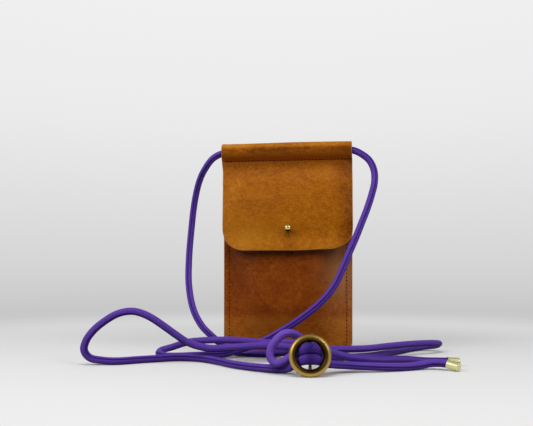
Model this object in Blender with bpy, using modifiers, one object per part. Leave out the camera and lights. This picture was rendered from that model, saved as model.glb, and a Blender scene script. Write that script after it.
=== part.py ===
"""Mini leather crossbody bag on a long braided cord, in metres, +Z up.

The bag stands upright with its front towards -Y. Its back leather folds over at the top, round the
cord, and is stitched down: the loop carries the cord, and below the stitches the same leather hangs
down in front as the flap. The flap closes over a ball stud on the swelling front pocket. The cord
runs through the loop, lies round the bag, and both of its ends pass over the bar of a ring slider.
"""
import math

import bmesh
import bpy
import numpy as np
from mathutils import Matrix, Vector

# Leather and seams
LEATHER = 0.0019
GAP = 0.0003
BAG_WIDTH = 0.1194
BAG_HEIGHT = 0.1970
CORNER_RADIUS = 0.0140
CUT_OVERRUN = 0.0040

# Front pocket
MOUTH_DROP = 0.0390
SEAM_MARGIN = 0.0080
POCKET_BULGE = 0.0090
MOUTH_BULGE = 0.0045
SIDE_RISE = 0.0260
BOTTOM_RISE = 0.0420
STUD_SEAT = 0.0050
POCKET_COLUMNS = 30
POCKET_ROWS = 30

# Cord and the loop that carries it
CORD_DIAMETER = 0.0062
CORD_SLACK = 0.0003
CORD_DROP = 0.0084
STITCH_DROP = 0.0160
LOOP_STEPS = 12
LOOP_FRONT_SHARE = 0.72
LOOP_FOOT_SHARE = 0.30

# Flap, bending forward just under the stitches
HINGE_DROP = 0.0198
FLAP_WIDTH = 0.1196
FLAP_LENGTH = 0.0802
FLAP_CORNER_RADIUS = 0.0180
FLAP_STAND_OFF = 0.0012
FLAP_STEPS = 26
STUD_HOLE = 0.0048
SLIT_WIDTH = 0.0010
SLIT_LENGTH = 0.0090

# Ball stud and its screw
STUD_DROP = 0.0804
STUD_X = 0.0014
BALL_DIAMETER = 0.0062
NECK_DIAMETER = 0.0040
STUD_FOOT_DIAMETER = 0.0084
STUD_FOOT_HEIGHT = 0.0010
SCREW_BORE = 0.0028
SCREW_BORE_DEPTH = 0.0026
SCREW_SHANK = 0.0022
SCREW_HEAD_DIAMETER = 0.0080
SCREW_HEAD_HEIGHT = 0.0012
SCREW_SLOT_WIDTH = 0.0009
SCREW_SLOT_DEPTH = 0.0006
TURN_STEPS = 32

# Ring slider, standing on the floor on its rim
RING_OUTER = 0.0310
RING_WIRE = 0.0056
RING_BAR = 0.0019
RING_BAR_SET_BACK = 0.0011
RING_X = 0.0242
RING_Y = -0.1068
RING_TURN = math.radians(6.0)
RING_LEAN = math.radians(10.0)
RING_STEPS = 48
RING_WIRE_STEPS = 16

# Metal caps on the two cord ends
CAP_DIAMETER = 0.0075
CAP_LENGTH = 0.0120
CAP_BORE_DEPTH = 0.0080
CAP_ROUND = 0.0012

# Sampling of the cord
CORD_STEP = 0.0330
CORD_TURN = math.radians(44.0)
WEAVE_TURN = math.radians(28.0)
CORD_END_STEP = 0.0003
CORD_SIDES_LEVEL = 3

CORD_RADIUS = CORD_DIAMETER / 2
RING_RADIUS = (RING_OUTER - RING_WIRE) / 2
CORD_Z = BAG_HEIGHT - CORD_DROP
STITCH_Z = BAG_HEIGHT - STITCH_DROP
HINGE_Z = BAG_HEIGHT - HINGE_DROP
MOUTH_Z = BAG_HEIGHT - MOUTH_DROP
STUD_Z = BAG_HEIGHT - STUD_DROP
FLAP_BOTTOM_Z = HINGE_Z - FLAP_LENGTH
LOOP_RADIUS = CORD_RADIUS + CORD_SLACK

# Depths, counted forward (towards -Y) from the inner face of the back leather
POCKET_OUT = GAP + LEATHER + POCKET_BULGE
FLAP_IN = POCKET_OUT + GAP + STUD_FOOT_HEIGHT + GAP
BALL_FRONT = FLAP_IN + LEATHER + GAP + BALL_DIAMETER
BACK_Y = (BALL_FRONT + LEATHER) / 2
INNER_Y = BACK_Y - LEATHER

# Route of the cord, as chosen along its strands in the picture: left side of the bag first
LEFT_ROUTE = {
    "cord_left_drop": [
        (-0.0697, 0.0072, 0.1843), (-0.0793, 0.0112, 0.1738), (-0.0855, 0.0166, 0.1635),
        (-0.0908, 0.0210, 0.1455), (-0.0940, 0.0207, 0.1184), (-0.0946, 0.0136, 0.0891),
        (-0.0919, 0.0028, 0.0644), (-0.0842, -0.0104, 0.0422), (-0.0752, -0.0165, 0.0287),
        (-0.0666, -0.0186, 0.0207), (-0.0580, -0.0132, 0.0120), (-0.0500, -0.0054, 0.0048),
    ],
    "cord_floor_run": [
        (-0.0412, -0.0035, 0.0031), (-0.0282, -0.0060, 0.0031), (-0.0152, -0.0080, 0.0033),
        (-0.0002, -0.0110, 0.0050), (0.0128, -0.0150, 0.0072), (0.0258, -0.0185, 0.0088),
        (0.0428, -0.0200, 0.0097), (0.0688, -0.0130, 0.0097), (0.0938, 0.0042, 0.0105),
        (0.1178, 0.0218, 0.0107), (0.1368, 0.0359, 0.0100), (0.1442, 0.0447, 0.0086),
        (0.1428, 0.0556, 0.0055), (0.1328, 0.0590, 0.0038), (0.1188, 0.0490, 0.0031),
        (0.0968, 0.0180, 0.0031), (0.0768, -0.0060, 0.0031), (0.0608, -0.0165, 0.0031),
        (0.0458, -0.0225, 0.0033), (0.0308, -0.0290, 0.0055),
    ],
    "cord_big_loop": [
        (0.0158, -0.0350, 0.0105), (0.0008, -0.0400, 0.0138), (-0.0192, -0.0410, 0.0146),
        (-0.0422, -0.0420, 0.0130), (-0.0631, -0.0444, 0.0123), (-0.0794, -0.0476, 0.0169),
        (-0.0894, -0.0522, 0.0241), (-0.0990, -0.0562, 0.0319), (-0.1087, -0.0593, 0.0389),
        (-0.1252, -0.0620, 0.0442), (-0.1355, -0.0641, 0.0425), (-0.1458, -0.0662, 0.0360),
        (-0.1546, -0.0681, 0.0283), (-0.1601, -0.0697, 0.0200), (-0.1616, -0.0699, 0.0125),
        (-0.1579, -0.0680, 0.0063), (-0.1476, -0.0659, 0.0038), (-0.1352, -0.0639, 0.0031),
        (-0.1208, -0.0537, 0.0031), (-0.1074, -0.0457, 0.0031), (-0.0952, -0.0388, 0.0031),
        (-0.0814, -0.0374, 0.0031), (-0.0663, -0.0438, 0.0031), (-0.0511, -0.0568, 0.0031),
        (-0.0360, -0.0727, 0.0031), (-0.0234, -0.0816, 0.0031),
    ],
}
RIGHT_ROUTE = {
    "cord_right_drop": [
        (0.0666, 0.0054, 0.1854), (0.0744, 0.0052, 0.1791), (0.0787, 0.0037, 0.1696),
        (0.0790, 0.0007, 0.1582), (0.0760, -0.0037, 0.1459), (0.0717, -0.0081, 0.1329),
        (0.0664, -0.0137, 0.1195), (0.0611, -0.0193, 0.1064), (0.0551, -0.0250, 0.0928),
        (0.0492, -0.0296, 0.0785), (0.0424, -0.0323, 0.0647), (0.0312, -0.0335, 0.0511),
        (0.0142, -0.0313, 0.0371), (-0.0047, -0.0252, 0.0245), (-0.0184, -0.0196, 0.0167),
    ],
    "cord_small_loop": [
        (-0.0318, -0.0160, 0.0107), (-0.0424, -0.0141, 0.0070), (-0.0542, -0.0163, 0.0040),
        (-0.0682, -0.0180, 0.0031), (-0.0792, -0.0220, 0.0031), (-0.0922, -0.0280, 0.0031),
        (-0.1042, -0.0300, 0.0033), (-0.1122, -0.0250, 0.0045), (-0.1127, -0.0160, 0.0064),
        (-0.1044, -0.0116, 0.0087), (-0.0883, -0.0179, 0.0141), (-0.0753, -0.0236, 0.0163),
        (-0.0612, -0.0271, 0.0174), (-0.0473, -0.0287, 0.0177), (-0.0335, -0.0292, 0.0171),
        (-0.0179, -0.0286, 0.0158), (0.0003, -0.0277, 0.0161), (0.0090, -0.0288, 0.0162),
        (0.0160, -0.0321, 0.0170), (0.0217, -0.0385, 0.0168), (0.0259, -0.0481, 0.0163),
        (0.0280, -0.0590, 0.0165), (0.0270, -0.0701, 0.0184), (0.0227, -0.0786, 0.0223),
        (0.0181, -0.0847, 0.0266), (0.0139, -0.0891, 0.0295), (0.0094, -0.0921, 0.0305),
        (0.0045, -0.0936, 0.0297), (-0.0005, -0.0942, 0.0261), (-0.0039, -0.0940, 0.0216),
        (-0.0056, -0.0937, 0.0180),
    ],
}

# Points on the ring's own axes: along the slide, back through the ring, up across it
LOWER_LEAD = [(-0.0274, 0.0182, -0.0088), (-0.0210, 0.0178, -0.0092)]
UPPER_LEAD = [
    (-0.0288, 0.0134, 0.0018), (-0.0282, 0.0134, -0.0016), (-0.0261, 0.0128, -0.0041),
    (-0.0236, 0.0116, -0.0052), (-0.0204, 0.0107, -0.0046), (-0.0176, 0.0100, -0.0032),
]
LOWER_WEAVE = [
    (-0.0152, 0.0134, -0.0092), (-0.0098, 0.0076, -0.0062), (-0.0069, 0.0043, -0.0043),
    (-0.0049, 0.0006, -0.0033), (-0.0029, -0.0022, -0.0028), (0.0000, -0.0034, -0.0027),
    (0.0029, -0.0022, -0.0028), (0.0049, 0.0005, -0.0030), (0.0069, 0.0038, -0.0035),
    (0.0098, 0.0069, -0.0042),
]
UPPER_WEAVE = [
    (-0.0150, 0.0095, -0.0012), (-0.0098, 0.0066, 0.0019), (-0.0069, 0.0038, 0.0034),
    (-0.0049, 0.0006, 0.0043), (-0.0029, -0.0022, 0.0050), (0.0000, -0.0034, 0.0052),
    (0.0029, -0.0022, 0.0051), (0.0049, 0.0005, 0.0043), (0.0069, 0.0038, 0.0036),
    (0.0098, 0.0069, 0.0031),
]
LOWER_TAIL_START = (0.0150, 0.0110, -0.0056)
UPPER_TAIL_START = (0.0150, 0.0110, 0.0027)
LOWER_TAIL = [
    (0.0528, -0.0840, 0.0049), (0.0738, -0.0790, 0.0036), (0.0948, -0.0710, 0.0031),
    (0.1093, -0.0635, 0.0034), (0.1158, -0.0612, 0.0040), (0.1213, -0.0612, 0.0041),
    (0.1263, -0.0634, 0.0040), (0.1308, -0.0657, 0.0039), (0.1350, -0.0678, 0.0038),
]
UPPER_TAIL = [
    (0.0538, -0.0780, 0.0128), (0.0758, -0.0640, 0.0083), (0.0978, -0.0530, 0.0063),
    (0.1148, -0.0460, 0.0046), (0.1278, -0.0424, 0.0039), (0.1343, -0.0408, 0.0038),
    (0.1408, -0.0392, 0.0038),
]


def clear_scene():
    for old in list(bpy.data.objects):
        bpy.data.objects.remove(old, do_unlink=True)


def new_collection(name):
    group = bpy.data.collections.new(name)
    bpy.context.scene.collection.children.link(group)
    return group


def material(name, colour, roughness, metallic=0.0):
    mat = bpy.data.materials.new(name)
    mat.use_nodes = True
    shader = mat.node_tree.nodes["Principled BSDF"]
    shader.inputs["Base Color"].default_value = (*colour, 1.0)
    shader.inputs["Roughness"].default_value = roughness
    shader.inputs["Metallic"].default_value = metallic
    mat.diffuse_color = (*colour, 1.0)
    return mat


def place(name, data, group, mat=None, matrix=None):
    obj = bpy.data.objects.new(name, data)
    group.objects.link(obj)
    if mat is not None:
        data.materials.append(mat)
    if matrix is not None:
        obj.matrix_world = matrix
    return obj


def cutter(name, data, matrix=None):
    obj = place(name, data, CUTTERS, matrix=matrix)
    obj.hide_render = True
    obj.display_type = "WIRE"
    return obj


def boolean(obj, tool, operation):
    mod = obj.modifiers.new(operation.title() + " " + tool.name, "BOOLEAN")
    mod.operation = operation
    mod.object = tool
    mod.solver = "EXACT"


def mesh_from_curve(curve, matrix, merge=0.00001):
    """A mesh of the curve with its caps welded on, turned by the given matrix."""
    guide = bpy.data.objects.new("guide", curve)
    bpy.context.scene.collection.objects.link(guide)
    bpy.context.view_layer.update()
    mesh = bpy.data.meshes.new_from_object(guide.evaluated_get(bpy.context.evaluated_depsgraph_get()))
    bpy.data.objects.remove(guide, do_unlink=True)
    bm = bmesh.new()
    bm.from_mesh(mesh)
    bmesh.ops.remove_doubles(bm, verts=bm.verts, dist=merge)
    bmesh.ops.transform(bm, matrix=matrix, verts=bm.verts)
    bmesh.ops.recalc_face_normals(bm, faces=bm.faces)
    bm.to_mesh(mesh)
    bm.free()
    return mesh


def outline_curve(points, half_depth):
    curve = bpy.data.curves.new("outline", "CURVE")
    curve.dimensions = "2D"
    curve.fill_mode = "BOTH"
    curve.extrude = half_depth
    spline = curve.splines.new("POLY")
    spline.points.add(len(points) - 1)
    for slot, (a, b) in zip(spline.points, points):
        slot.co = (a, b, 0.0, 1.0)
    spline.use_cyclic_u = True
    return curve


SECTION = Matrix.Rotation(math.pi / 2, 4, "Z") @ Matrix.Rotation(math.pi / 2, 4, "X")
FACING = Matrix.Rotation(math.pi / 2, 4, "X")


def section_mesh(points, width):
    """A profile in the Y-Z plane, drawn out along X to both sides."""
    return mesh_from_curve(outline_curve(points, width / 2), SECTION)


def facing_mesh(points, depth):
    """An outline in the X-Z plane, drawn out along Y to both sides."""
    return mesh_from_curve(outline_curve(points, depth / 2), FACING)


def arc(centre, radius, start, end, steps):
    angles = np.linspace(math.radians(start), math.radians(end), steps + 1)
    return [(centre[0] + radius * math.cos(a), centre[1] + radius * math.sin(a)) for a in angles]


def bezier(p0, p1, p2, p3, steps):
    t = np.linspace(0.0, 1.0, steps + 1)[:, None]
    p0, p1, p2, p3 = (np.array(p) for p in (p0, p1, p2, p3))
    curve = (1 - t) ** 3 * p0 + 3 * (1 - t) ** 2 * t * p1 + 3 * (1 - t) * t * t * p2 + t ** 3 * p3
    return [tuple(p) for p in curve]


def ribbon(middle, thickness, round_start=0):
    """The outline of a strip of leather along its middle line, with a half-round first end if asked."""
    line = np.array(middle)
    along = np.gradient(line, axis=0)
    along /= np.linalg.norm(along, axis=1)[:, None]
    side = np.column_stack([-along[:, 1], along[:, 0]]) * thickness / 2
    outline = [tuple(p) for p in line + side]
    outline += [tuple(p) for p in (line - side)[::-1]]
    if round_start:
        turn = math.degrees(math.atan2(-side[0][1], -side[0][0]))
        outline += arc(line[0], thickness / 2, turn, turn - 180.0, round_start)[1:-1]
    return outline


def rounded_bottom(width, bottom, top, radius, steps=10):
    half = width / 2
    points = arc((-half + radius, bottom + radius), radius, 180.0, 270.0, steps)
    points += arc((half - radius, bottom + radius), radius, 270.0, 360.0, steps)
    return points + [(half, top), (-half, top)]


def smooth(t):
    t = np.clip(t, 0.0, 1.0)
    return t * t * (3.0 - 2.0 * t)


def turned(name, profile, group, mat, matrix, steps=TURN_STEPS):
    """A profile of radius and height, outer side first from the top down, spun round local Z."""
    mesh = bpy.data.meshes.new(name)
    bm = bmesh.new()
    verts = [bm.verts.new((r, 0.0, h)) for r, h in profile]
    for a, b in zip(verts, verts[1:]):
        bm.edges.new((a, b))
    bm.to_mesh(mesh)
    bm.free()
    obj = place(name, mesh, group, mat, matrix)
    screw = obj.modifiers.new("Spin", "SCREW")
    screw.axis = "Z"
    screw.angle = math.tau
    screw.steps = steps
    screw.render_steps = steps
    screw.use_merge_vertices = True
    screw.merge_threshold = 0.00001
    return obj


def box_mesh(size):
    mesh = bpy.data.meshes.new("box")
    bm = bmesh.new()
    bmesh.ops.create_cube(bm, size=1.0, matrix=Matrix.Diagonal((*size, 1.0)))
    bm.to_mesh(mesh)
    bm.free()
    return mesh


def rod_mesh(radius, length, steps=TURN_STEPS):
    mesh = bpy.data.meshes.new("rod")
    bm = bmesh.new()
    bmesh.ops.create_cone(bm, cap_ends=True, segments=steps, radius1=radius, radius2=radius, depth=length)
    bm.to_mesh(mesh)
    bm.free()
    return mesh


def smooth_round(obj, angle=30.0):
    """Smooth shading for a mesh object whose faces are final or come from a Screw."""
    obj.data.shade_smooth()
    obj.data.set_sharp_from_angle(angle=math.radians(angle))


def back_panel():
    """Back leather, its fold over the top and the loop down to the stitches, as one strip."""
    middle_back = INNER_Y + LEATHER / 2
    middle_front = INNER_Y - GAP - LEATHER / 2
    fold_radius = LOOP_RADIUS + LEATHER / 2
    fold_y = middle_back - fold_radius
    fold_z = BAG_HEIGHT - LEATHER / 2 - fold_radius
    loop_front = fold_y - fold_radius
    end_z = HINGE_Z + LEATHER / 2 + GAP
    drop = CORD_Z - STITCH_Z
    middle = [(middle_back, 0.0)]
    middle += arc((fold_y, fold_z), fold_radius, 0.0, 180.0, LOOP_STEPS)
    middle += bezier((loop_front, CORD_Z), (loop_front, CORD_Z - LOOP_FRONT_SHARE * drop),
                     (middle_front, STITCH_Z + LOOP_FOOT_SHARE * drop), (middle_front, STITCH_Z), LOOP_STEPS)
    middle.append((middle_front, end_z))
    strip = place("back_panel", section_mesh(ribbon(middle, LEATHER), BAG_WIDTH), MODEL, TAN)
    shape = rounded_bottom(BAG_WIDTH, 0.0, BAG_HEIGHT + CUT_OVERRUN, CORNER_RADIUS)
    tool = cutter("back_outline", facing_mesh(shape, 2 * (BALL_FRONT + LEATHER)))
    boolean(strip, tool, "INTERSECT")
    return strip


def pocket_depth(x, z):
    """How far the front leather stands out from its seams at a place on the pocket."""
    from_side = (BAG_WIDTH / 2 - SEAM_MARGIN - abs(x)) / SIDE_RISE
    from_bottom = (z - SEAM_MARGIN) / BOTTOM_RISE
    fall = STUD_Z + STUD_SEAT
    crown = POCKET_BULGE - (POCKET_BULGE - MOUTH_BULGE) * smooth((z - fall) / (MOUTH_Z - fall))
    return float(crown * smooth(from_side) * smooth(from_bottom))


def front_panel():
    """Domed pocket leather: an open sheet with flat seams, made solid, cut to the bag's outline."""
    mesh = bpy.data.meshes.new("front_panel")
    bm = bmesh.new()
    bmesh.ops.create_grid(bm, x_segments=POCKET_COLUMNS, y_segments=POCKET_ROWS, size=0.5)
    wide = BAG_WIDTH + 2 * GAP
    for vert in bm.verts:
        x = vert.co.x * wide
        z = (vert.co.y + 0.5) * MOUTH_Z
        vert.co = (x, INNER_Y - GAP - pocket_depth(x, z), z)
    bmesh.ops.recalc_face_normals(bm, faces=bm.faces)
    if sum(face.normal.y for face in bm.faces) > 0:
        bmesh.ops.reverse_faces(bm, faces=bm.faces)
    bm.to_mesh(mesh)
    bm.free()
    panel = place("front_panel", mesh, MODEL, DARK)
    shell = panel.modifiers.new("Leather", "SOLIDIFY")
    shell.thickness = LEATHER
    shell.offset = 1.0
    shell.use_even_offset = False
    shape = rounded_bottom(BAG_WIDTH, 0.0, MOUTH_Z + CUT_OVERRUN, CORNER_RADIUS)
    tool = cutter("front_outline", facing_mesh(shape, 2 * (BALL_FRONT + LEATHER)))
    boolean(panel, tool, "INTERSECT")
    middle = INNER_Y - GAP - POCKET_BULGE - LEATHER / 2
    rod = rod_mesh(SCREW_BORE / 2, LEATHER + 2 * CUT_OVERRUN)
    boolean(panel, cutter("stud_screw_hole", rod, Matrix.Translation((STUD_X, middle, STUD_Z)) @ FACING),
            "DIFFERENCE")
    return panel


def flap_line():
    """Middle line of the flap from its hinge down, bent only across lines parallel to X."""
    start = (INNER_Y - GAP - LEATHER / 2, HINGE_Z)
    mouth = (INNER_Y - GAP - LEATHER - MOUTH_BULGE - GAP - LEATHER / 2, MOUTH_Z)
    stud = (INNER_Y - FLAP_IN - LEATHER / 2, STUD_Z)
    tip = (stud[0] - FLAP_STAND_OFF, FLAP_BOTTOM_Z)
    lean_top = (mouth[0] - start[0]) / (start[1] - mouth[1])
    lean_mouth = (stud[0] - mouth[0]) / (mouth[1] - stud[1])
    drop_top = (start[1] - mouth[1]) / 3
    drop_mouth = (mouth[1] - stud[1]) / 3
    drop_tip = (stud[1] - tip[1]) / 3
    lean_stud = (tip[0] - stud[0]) / (stud[1] - tip[1])
    ease = (lean_top + lean_mouth) / 2
    share = FLAP_STEPS // 3
    line = bezier(start, (start[0], start[1] - drop_top),
                  (mouth[0] - ease * drop_top, mouth[1] + drop_top), mouth, share)
    line += bezier(mouth, (mouth[0] + ease * drop_mouth, mouth[1] - drop_mouth),
                   (stud[0], stud[1] + drop_mouth), stud, share)[1:]
    line += bezier(stud, (stud[0], stud[1] - drop_tip),
                   (tip[0] - lean_stud * drop_tip, tip[1] + drop_tip), tip, share)[1:]
    return line


def flap():
    """The hanging front of the folded leather, with its stud hole and the slit under it."""
    line = flap_line()
    hinge = Vector((0.0, line[0][0], HINGE_Z))
    mesh = section_mesh(ribbon(line, LEATHER, round_start=8), FLAP_WIDTH)
    mesh.transform(Matrix.Translation(-hinge))
    sheet = place("flap", mesh, MODEL, GOLDEN, Matrix.Translation(hinge))
    shape = rounded_bottom(FLAP_WIDTH, FLAP_BOTTOM_Z - GAP, HINGE_Z + CUT_OVERRUN, FLAP_CORNER_RADIUS)
    tool = cutter("flap_outline", facing_mesh(shape, 2 * (BALL_FRONT + LEATHER)))
    boolean(sheet, tool, "INTERSECT")
    middle = INNER_Y - FLAP_IN - LEATHER / 2
    long = LEATHER + 2 * CUT_OVERRUN
    hole = cutter("stud_hole", rod_mesh(STUD_HOLE / 2, long), Matrix.Translation((STUD_X, middle, STUD_Z)) @ FACING)
    boolean(sheet, hole, "DIFFERENCE")
    slit = cutter("stud_slit", box_mesh((SLIT_WIDTH, long, SLIT_LENGTH)),
                  Matrix.Translation((STUD_X, middle, STUD_Z - SLIT_LENGTH / 2)))
    boolean(sheet, slit, "DIFFERENCE")
    return sheet


def stud_ball():
    """Foot, neck and ball of the stud, bored from behind for its screw."""
    foot_y = INNER_Y - POCKET_OUT - GAP
    neck_top = STUD_FOOT_HEIGHT + GAP + LEATHER + GAP
    radius = BALL_DIAMETER / 2
    centre = neck_top + radius
    low = math.degrees(math.asin(NECK_DIAMETER / BALL_DIAMETER))
    ball = [(radius * math.sin(a), centre + radius * math.cos(a))
            for a in np.radians(np.linspace(0.0, 180.0 - low, 13))]
    edge = STUD_FOOT_HEIGHT / 3
    profile = [(0.0, centre + radius)] + ball[1:]
    profile += [
        (NECK_DIAMETER / 2, STUD_FOOT_HEIGHT),
        (STUD_FOOT_DIAMETER / 2 - edge, STUD_FOOT_HEIGHT),
        (STUD_FOOT_DIAMETER / 2, STUD_FOOT_HEIGHT - edge),
        (STUD_FOOT_DIAMETER / 2, 0.0),
        (SCREW_BORE / 2, 0.0),
        (SCREW_BORE / 2, SCREW_BORE_DEPTH),
        (0.0, SCREW_BORE_DEPTH),
    ]
    stud = turned("stud_ball", profile, MODEL, BRASS, Matrix.Translation((STUD_X, foot_y, STUD_Z)) @ FACING)
    smooth_round(stud)
    return stud


def stud_screw():
    """Slotted screw that holds the stud from inside the pocket."""
    head_y = INNER_Y - GAP - POCKET_BULGE + GAP
    reach = GAP + LEATHER + GAP + SCREW_BORE_DEPTH - GAP
    edge = SCREW_HEAD_HEIGHT / 3
    profile = [
        (0.0, reach),
        (SCREW_SHANK / 2, reach),
        (SCREW_SHANK / 2, 0.0),
        (SCREW_HEAD_DIAMETER / 2, 0.0),
        (SCREW_HEAD_DIAMETER / 2, edge - SCREW_HEAD_HEIGHT),
        (SCREW_HEAD_DIAMETER / 2 - edge, -SCREW_HEAD_HEIGHT),
        (0.0, -SCREW_HEAD_HEIGHT),
    ]
    screw = turned("stud_screw", profile, MODEL, BRASS, Matrix.Translation((STUD_X, head_y, STUD_Z)) @ FACING)
    smooth_round(screw)
    slot = box_mesh((SCREW_HEAD_DIAMETER + CUT_OVERRUN, 2 * SCREW_SLOT_DEPTH, SCREW_SLOT_WIDTH))
    tool = cutter("screw_slot", slot, Matrix.Translation((STUD_X, head_y + SCREW_HEAD_HEIGHT, STUD_Z)))
    boolean(screw, tool, "DIFFERENCE")
    return screw


def ring_frame():
    """Axes of the ring: X along the slide, Y back through the ring, Z up across it."""
    centre_z = RING_RADIUS * math.cos(RING_LEAN) + RING_WIRE / 2
    back = RING_RADIUS * math.sin(RING_LEAN)
    foot = Vector((RING_X, RING_Y, 0.0))
    turn = Matrix.Rotation(RING_TURN, 4, "Z")
    lean = Matrix.Rotation(-RING_LEAN, 4, "X")
    return Matrix.Translation(foot) @ turn @ Matrix.Translation((0.0, back, centre_z)) @ lean


def slider_ring():
    """Cast ring with the upright bar that the two cords bend over."""
    mesh = bpy.data.meshes.new("slider_ring")
    bm = bmesh.new()
    for row in range(RING_STEPS):
        angle = math.tau * row / RING_STEPS
        for col in range(RING_WIRE_STEPS):
            turn = math.tau * col / RING_WIRE_STEPS
            r = RING_RADIUS + RING_WIRE / 2 * math.cos(turn)
            bm.verts.new((r * math.cos(angle), RING_WIRE / 2 * math.sin(turn), r * math.sin(angle)))
    bm.verts.ensure_lookup_table()
    for row in range(RING_STEPS):
        nxt = (row + 1) % RING_STEPS
        for col in range(RING_WIRE_STEPS):
            side = (col + 1) % RING_WIRE_STEPS
            bm.faces.new([bm.verts[i * RING_WIRE_STEPS + j]
                          for i, j in ((row, col), (nxt, col), (nxt, side), (row, side))])
    bmesh.ops.recalc_face_normals(bm, faces=bm.faces)
    bm.to_mesh(mesh)
    bm.free()
    ring = place("slider_ring", mesh, MODEL, BRASS, ring_frame())
    smooth_round(ring)
    bar = rod_mesh(RING_BAR / 2, 2 * RING_RADIUS, 12)
    tool = cutter("ring_bar", bar, ring_frame() @ Matrix.Translation((0.0, RING_BAR_SET_BACK, 0.0)))
    boolean(ring, tool, "UNION")
    return ring


def smooth_route(points):
    """A dense line through all the points, bending evenly, with the length up to each point."""
    pts = np.array(points)
    gaps = np.sqrt(np.linalg.norm(np.diff(pts, axis=0), axis=1))
    before = 2 * pts[0] - pts[1]
    after = 2 * pts[-1] - pts[-2]
    full = np.vstack([before, pts, after])
    gaps = np.concatenate([gaps[:1], gaps, gaps[-1:]])
    knots = np.concatenate([[0.0], np.cumsum(gaps)])
    dense = [pts[:1]]
    for i in range(1, len(full) - 2):
        k0, k1, k2, k3 = knots[i - 1:i + 3]
        p0, p1, p2, p3 = full[i - 1:i + 3]
        t = np.linspace(k1, k2, 25)[1:, None]
        a1 = (k1 - t) / (k1 - k0) * p0 + (t - k0) / (k1 - k0) * p1
        a2 = (k2 - t) / (k2 - k1) * p1 + (t - k1) / (k2 - k1) * p2
        a3 = (k3 - t) / (k3 - k2) * p2 + (t - k2) / (k3 - k2) * p3
        b1 = (k2 - t) / (k2 - k0) * a1 + (t - k0) / (k2 - k0) * a2
        b2 = (k3 - t) / (k3 - k1) * a2 + (t - k1) / (k3 - k1) * a3
        dense.append((k2 - t) / (k2 - k1) * b1 + (t - k1) / (k2 - k1) * b2)
    line = np.vstack(dense)
    line[:, 2] = np.maximum(line[:, 2], CORD_RADIUS)
    length = np.concatenate([[0.0], np.cumsum(np.linalg.norm(np.diff(line, axis=0), axis=1))])
    marks = length[::24]
    return line, length, marks


def cut_line(line, length, start, end, turn):
    """Points from start to end, closer together where the line bends, square to both end faces."""
    first = start + CORD_END_STEP
    last = end - CORD_END_STEP
    along = np.linspace(first, last, max(8, int((last - first) / GAP)))
    spots = np.column_stack([np.interp(along, length, line[:, k]) for k in range(3)])
    steps = np.diff(spots, axis=0)
    steps /= np.linalg.norm(steps, axis=1)[:, None]
    bend = np.arccos(np.clip((steps[1:] * steps[:-1]).sum(1), -1.0, 1.0))
    cost = np.diff(along) / CORD_STEP
    cost[1:] += bend / turn
    total = np.concatenate([[0.0], np.cumsum(cost)])
    count = max(2, int(math.ceil(total[-1])) + 1)
    picks = np.interp(np.linspace(0.0, total[-1], count), total, along)
    places = np.concatenate([[start], picks, [end]])
    return np.column_stack([np.interp(places, length, line[:, k]) for k in range(3)])


def cord_piece(name, points, mat, origin=None):
    """One stretch of cord: a round tube with closed ends."""
    curve = bpy.data.curves.new(name, "CURVE")
    curve.dimensions = "3D"
    curve.bevel_depth = CORD_RADIUS
    curve.bevel_resolution = CORD_SIDES_LEVEL
    curve.use_fill_caps = True
    base = Vector(origin) if origin is not None else Vector((0.0, 0.0, 0.0))
    spline = curve.splines.new("POLY")
    spline.points.add(len(points) - 1)
    for slot, point in zip(spline.points, points):
        slot.co = (*(Vector(point) - base), 1.0)
    return place(name, curve, MODEL, mat, Matrix.Translation(base))


def end_cap(name, tip, along):
    """Turned metal cap: a cup over the cord's end with a rounded far rim."""
    outer = CAP_DIAMETER / 2
    bore = CORD_RADIUS + GAP
    profile = [
        (0.0, CAP_LENGTH),
        (outer - CAP_ROUND, CAP_LENGTH),
        (outer - CAP_ROUND / 3, CAP_LENGTH - CAP_ROUND / 3),
        (outer, CAP_LENGTH - CAP_ROUND),
        (outer, 0.0),
        (bore, 0.0),
        (bore, CAP_BORE_DEPTH),
        (0.0, CAP_BORE_DEPTH),
    ]
    turn = Vector(along).to_track_quat("Z", "Y").to_matrix().to_4x4()
    cap = turned(name, profile, MODEL, BRASS, Matrix.Translation(tip) @ turn)
    smooth_round(cap)
    return cap


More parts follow.
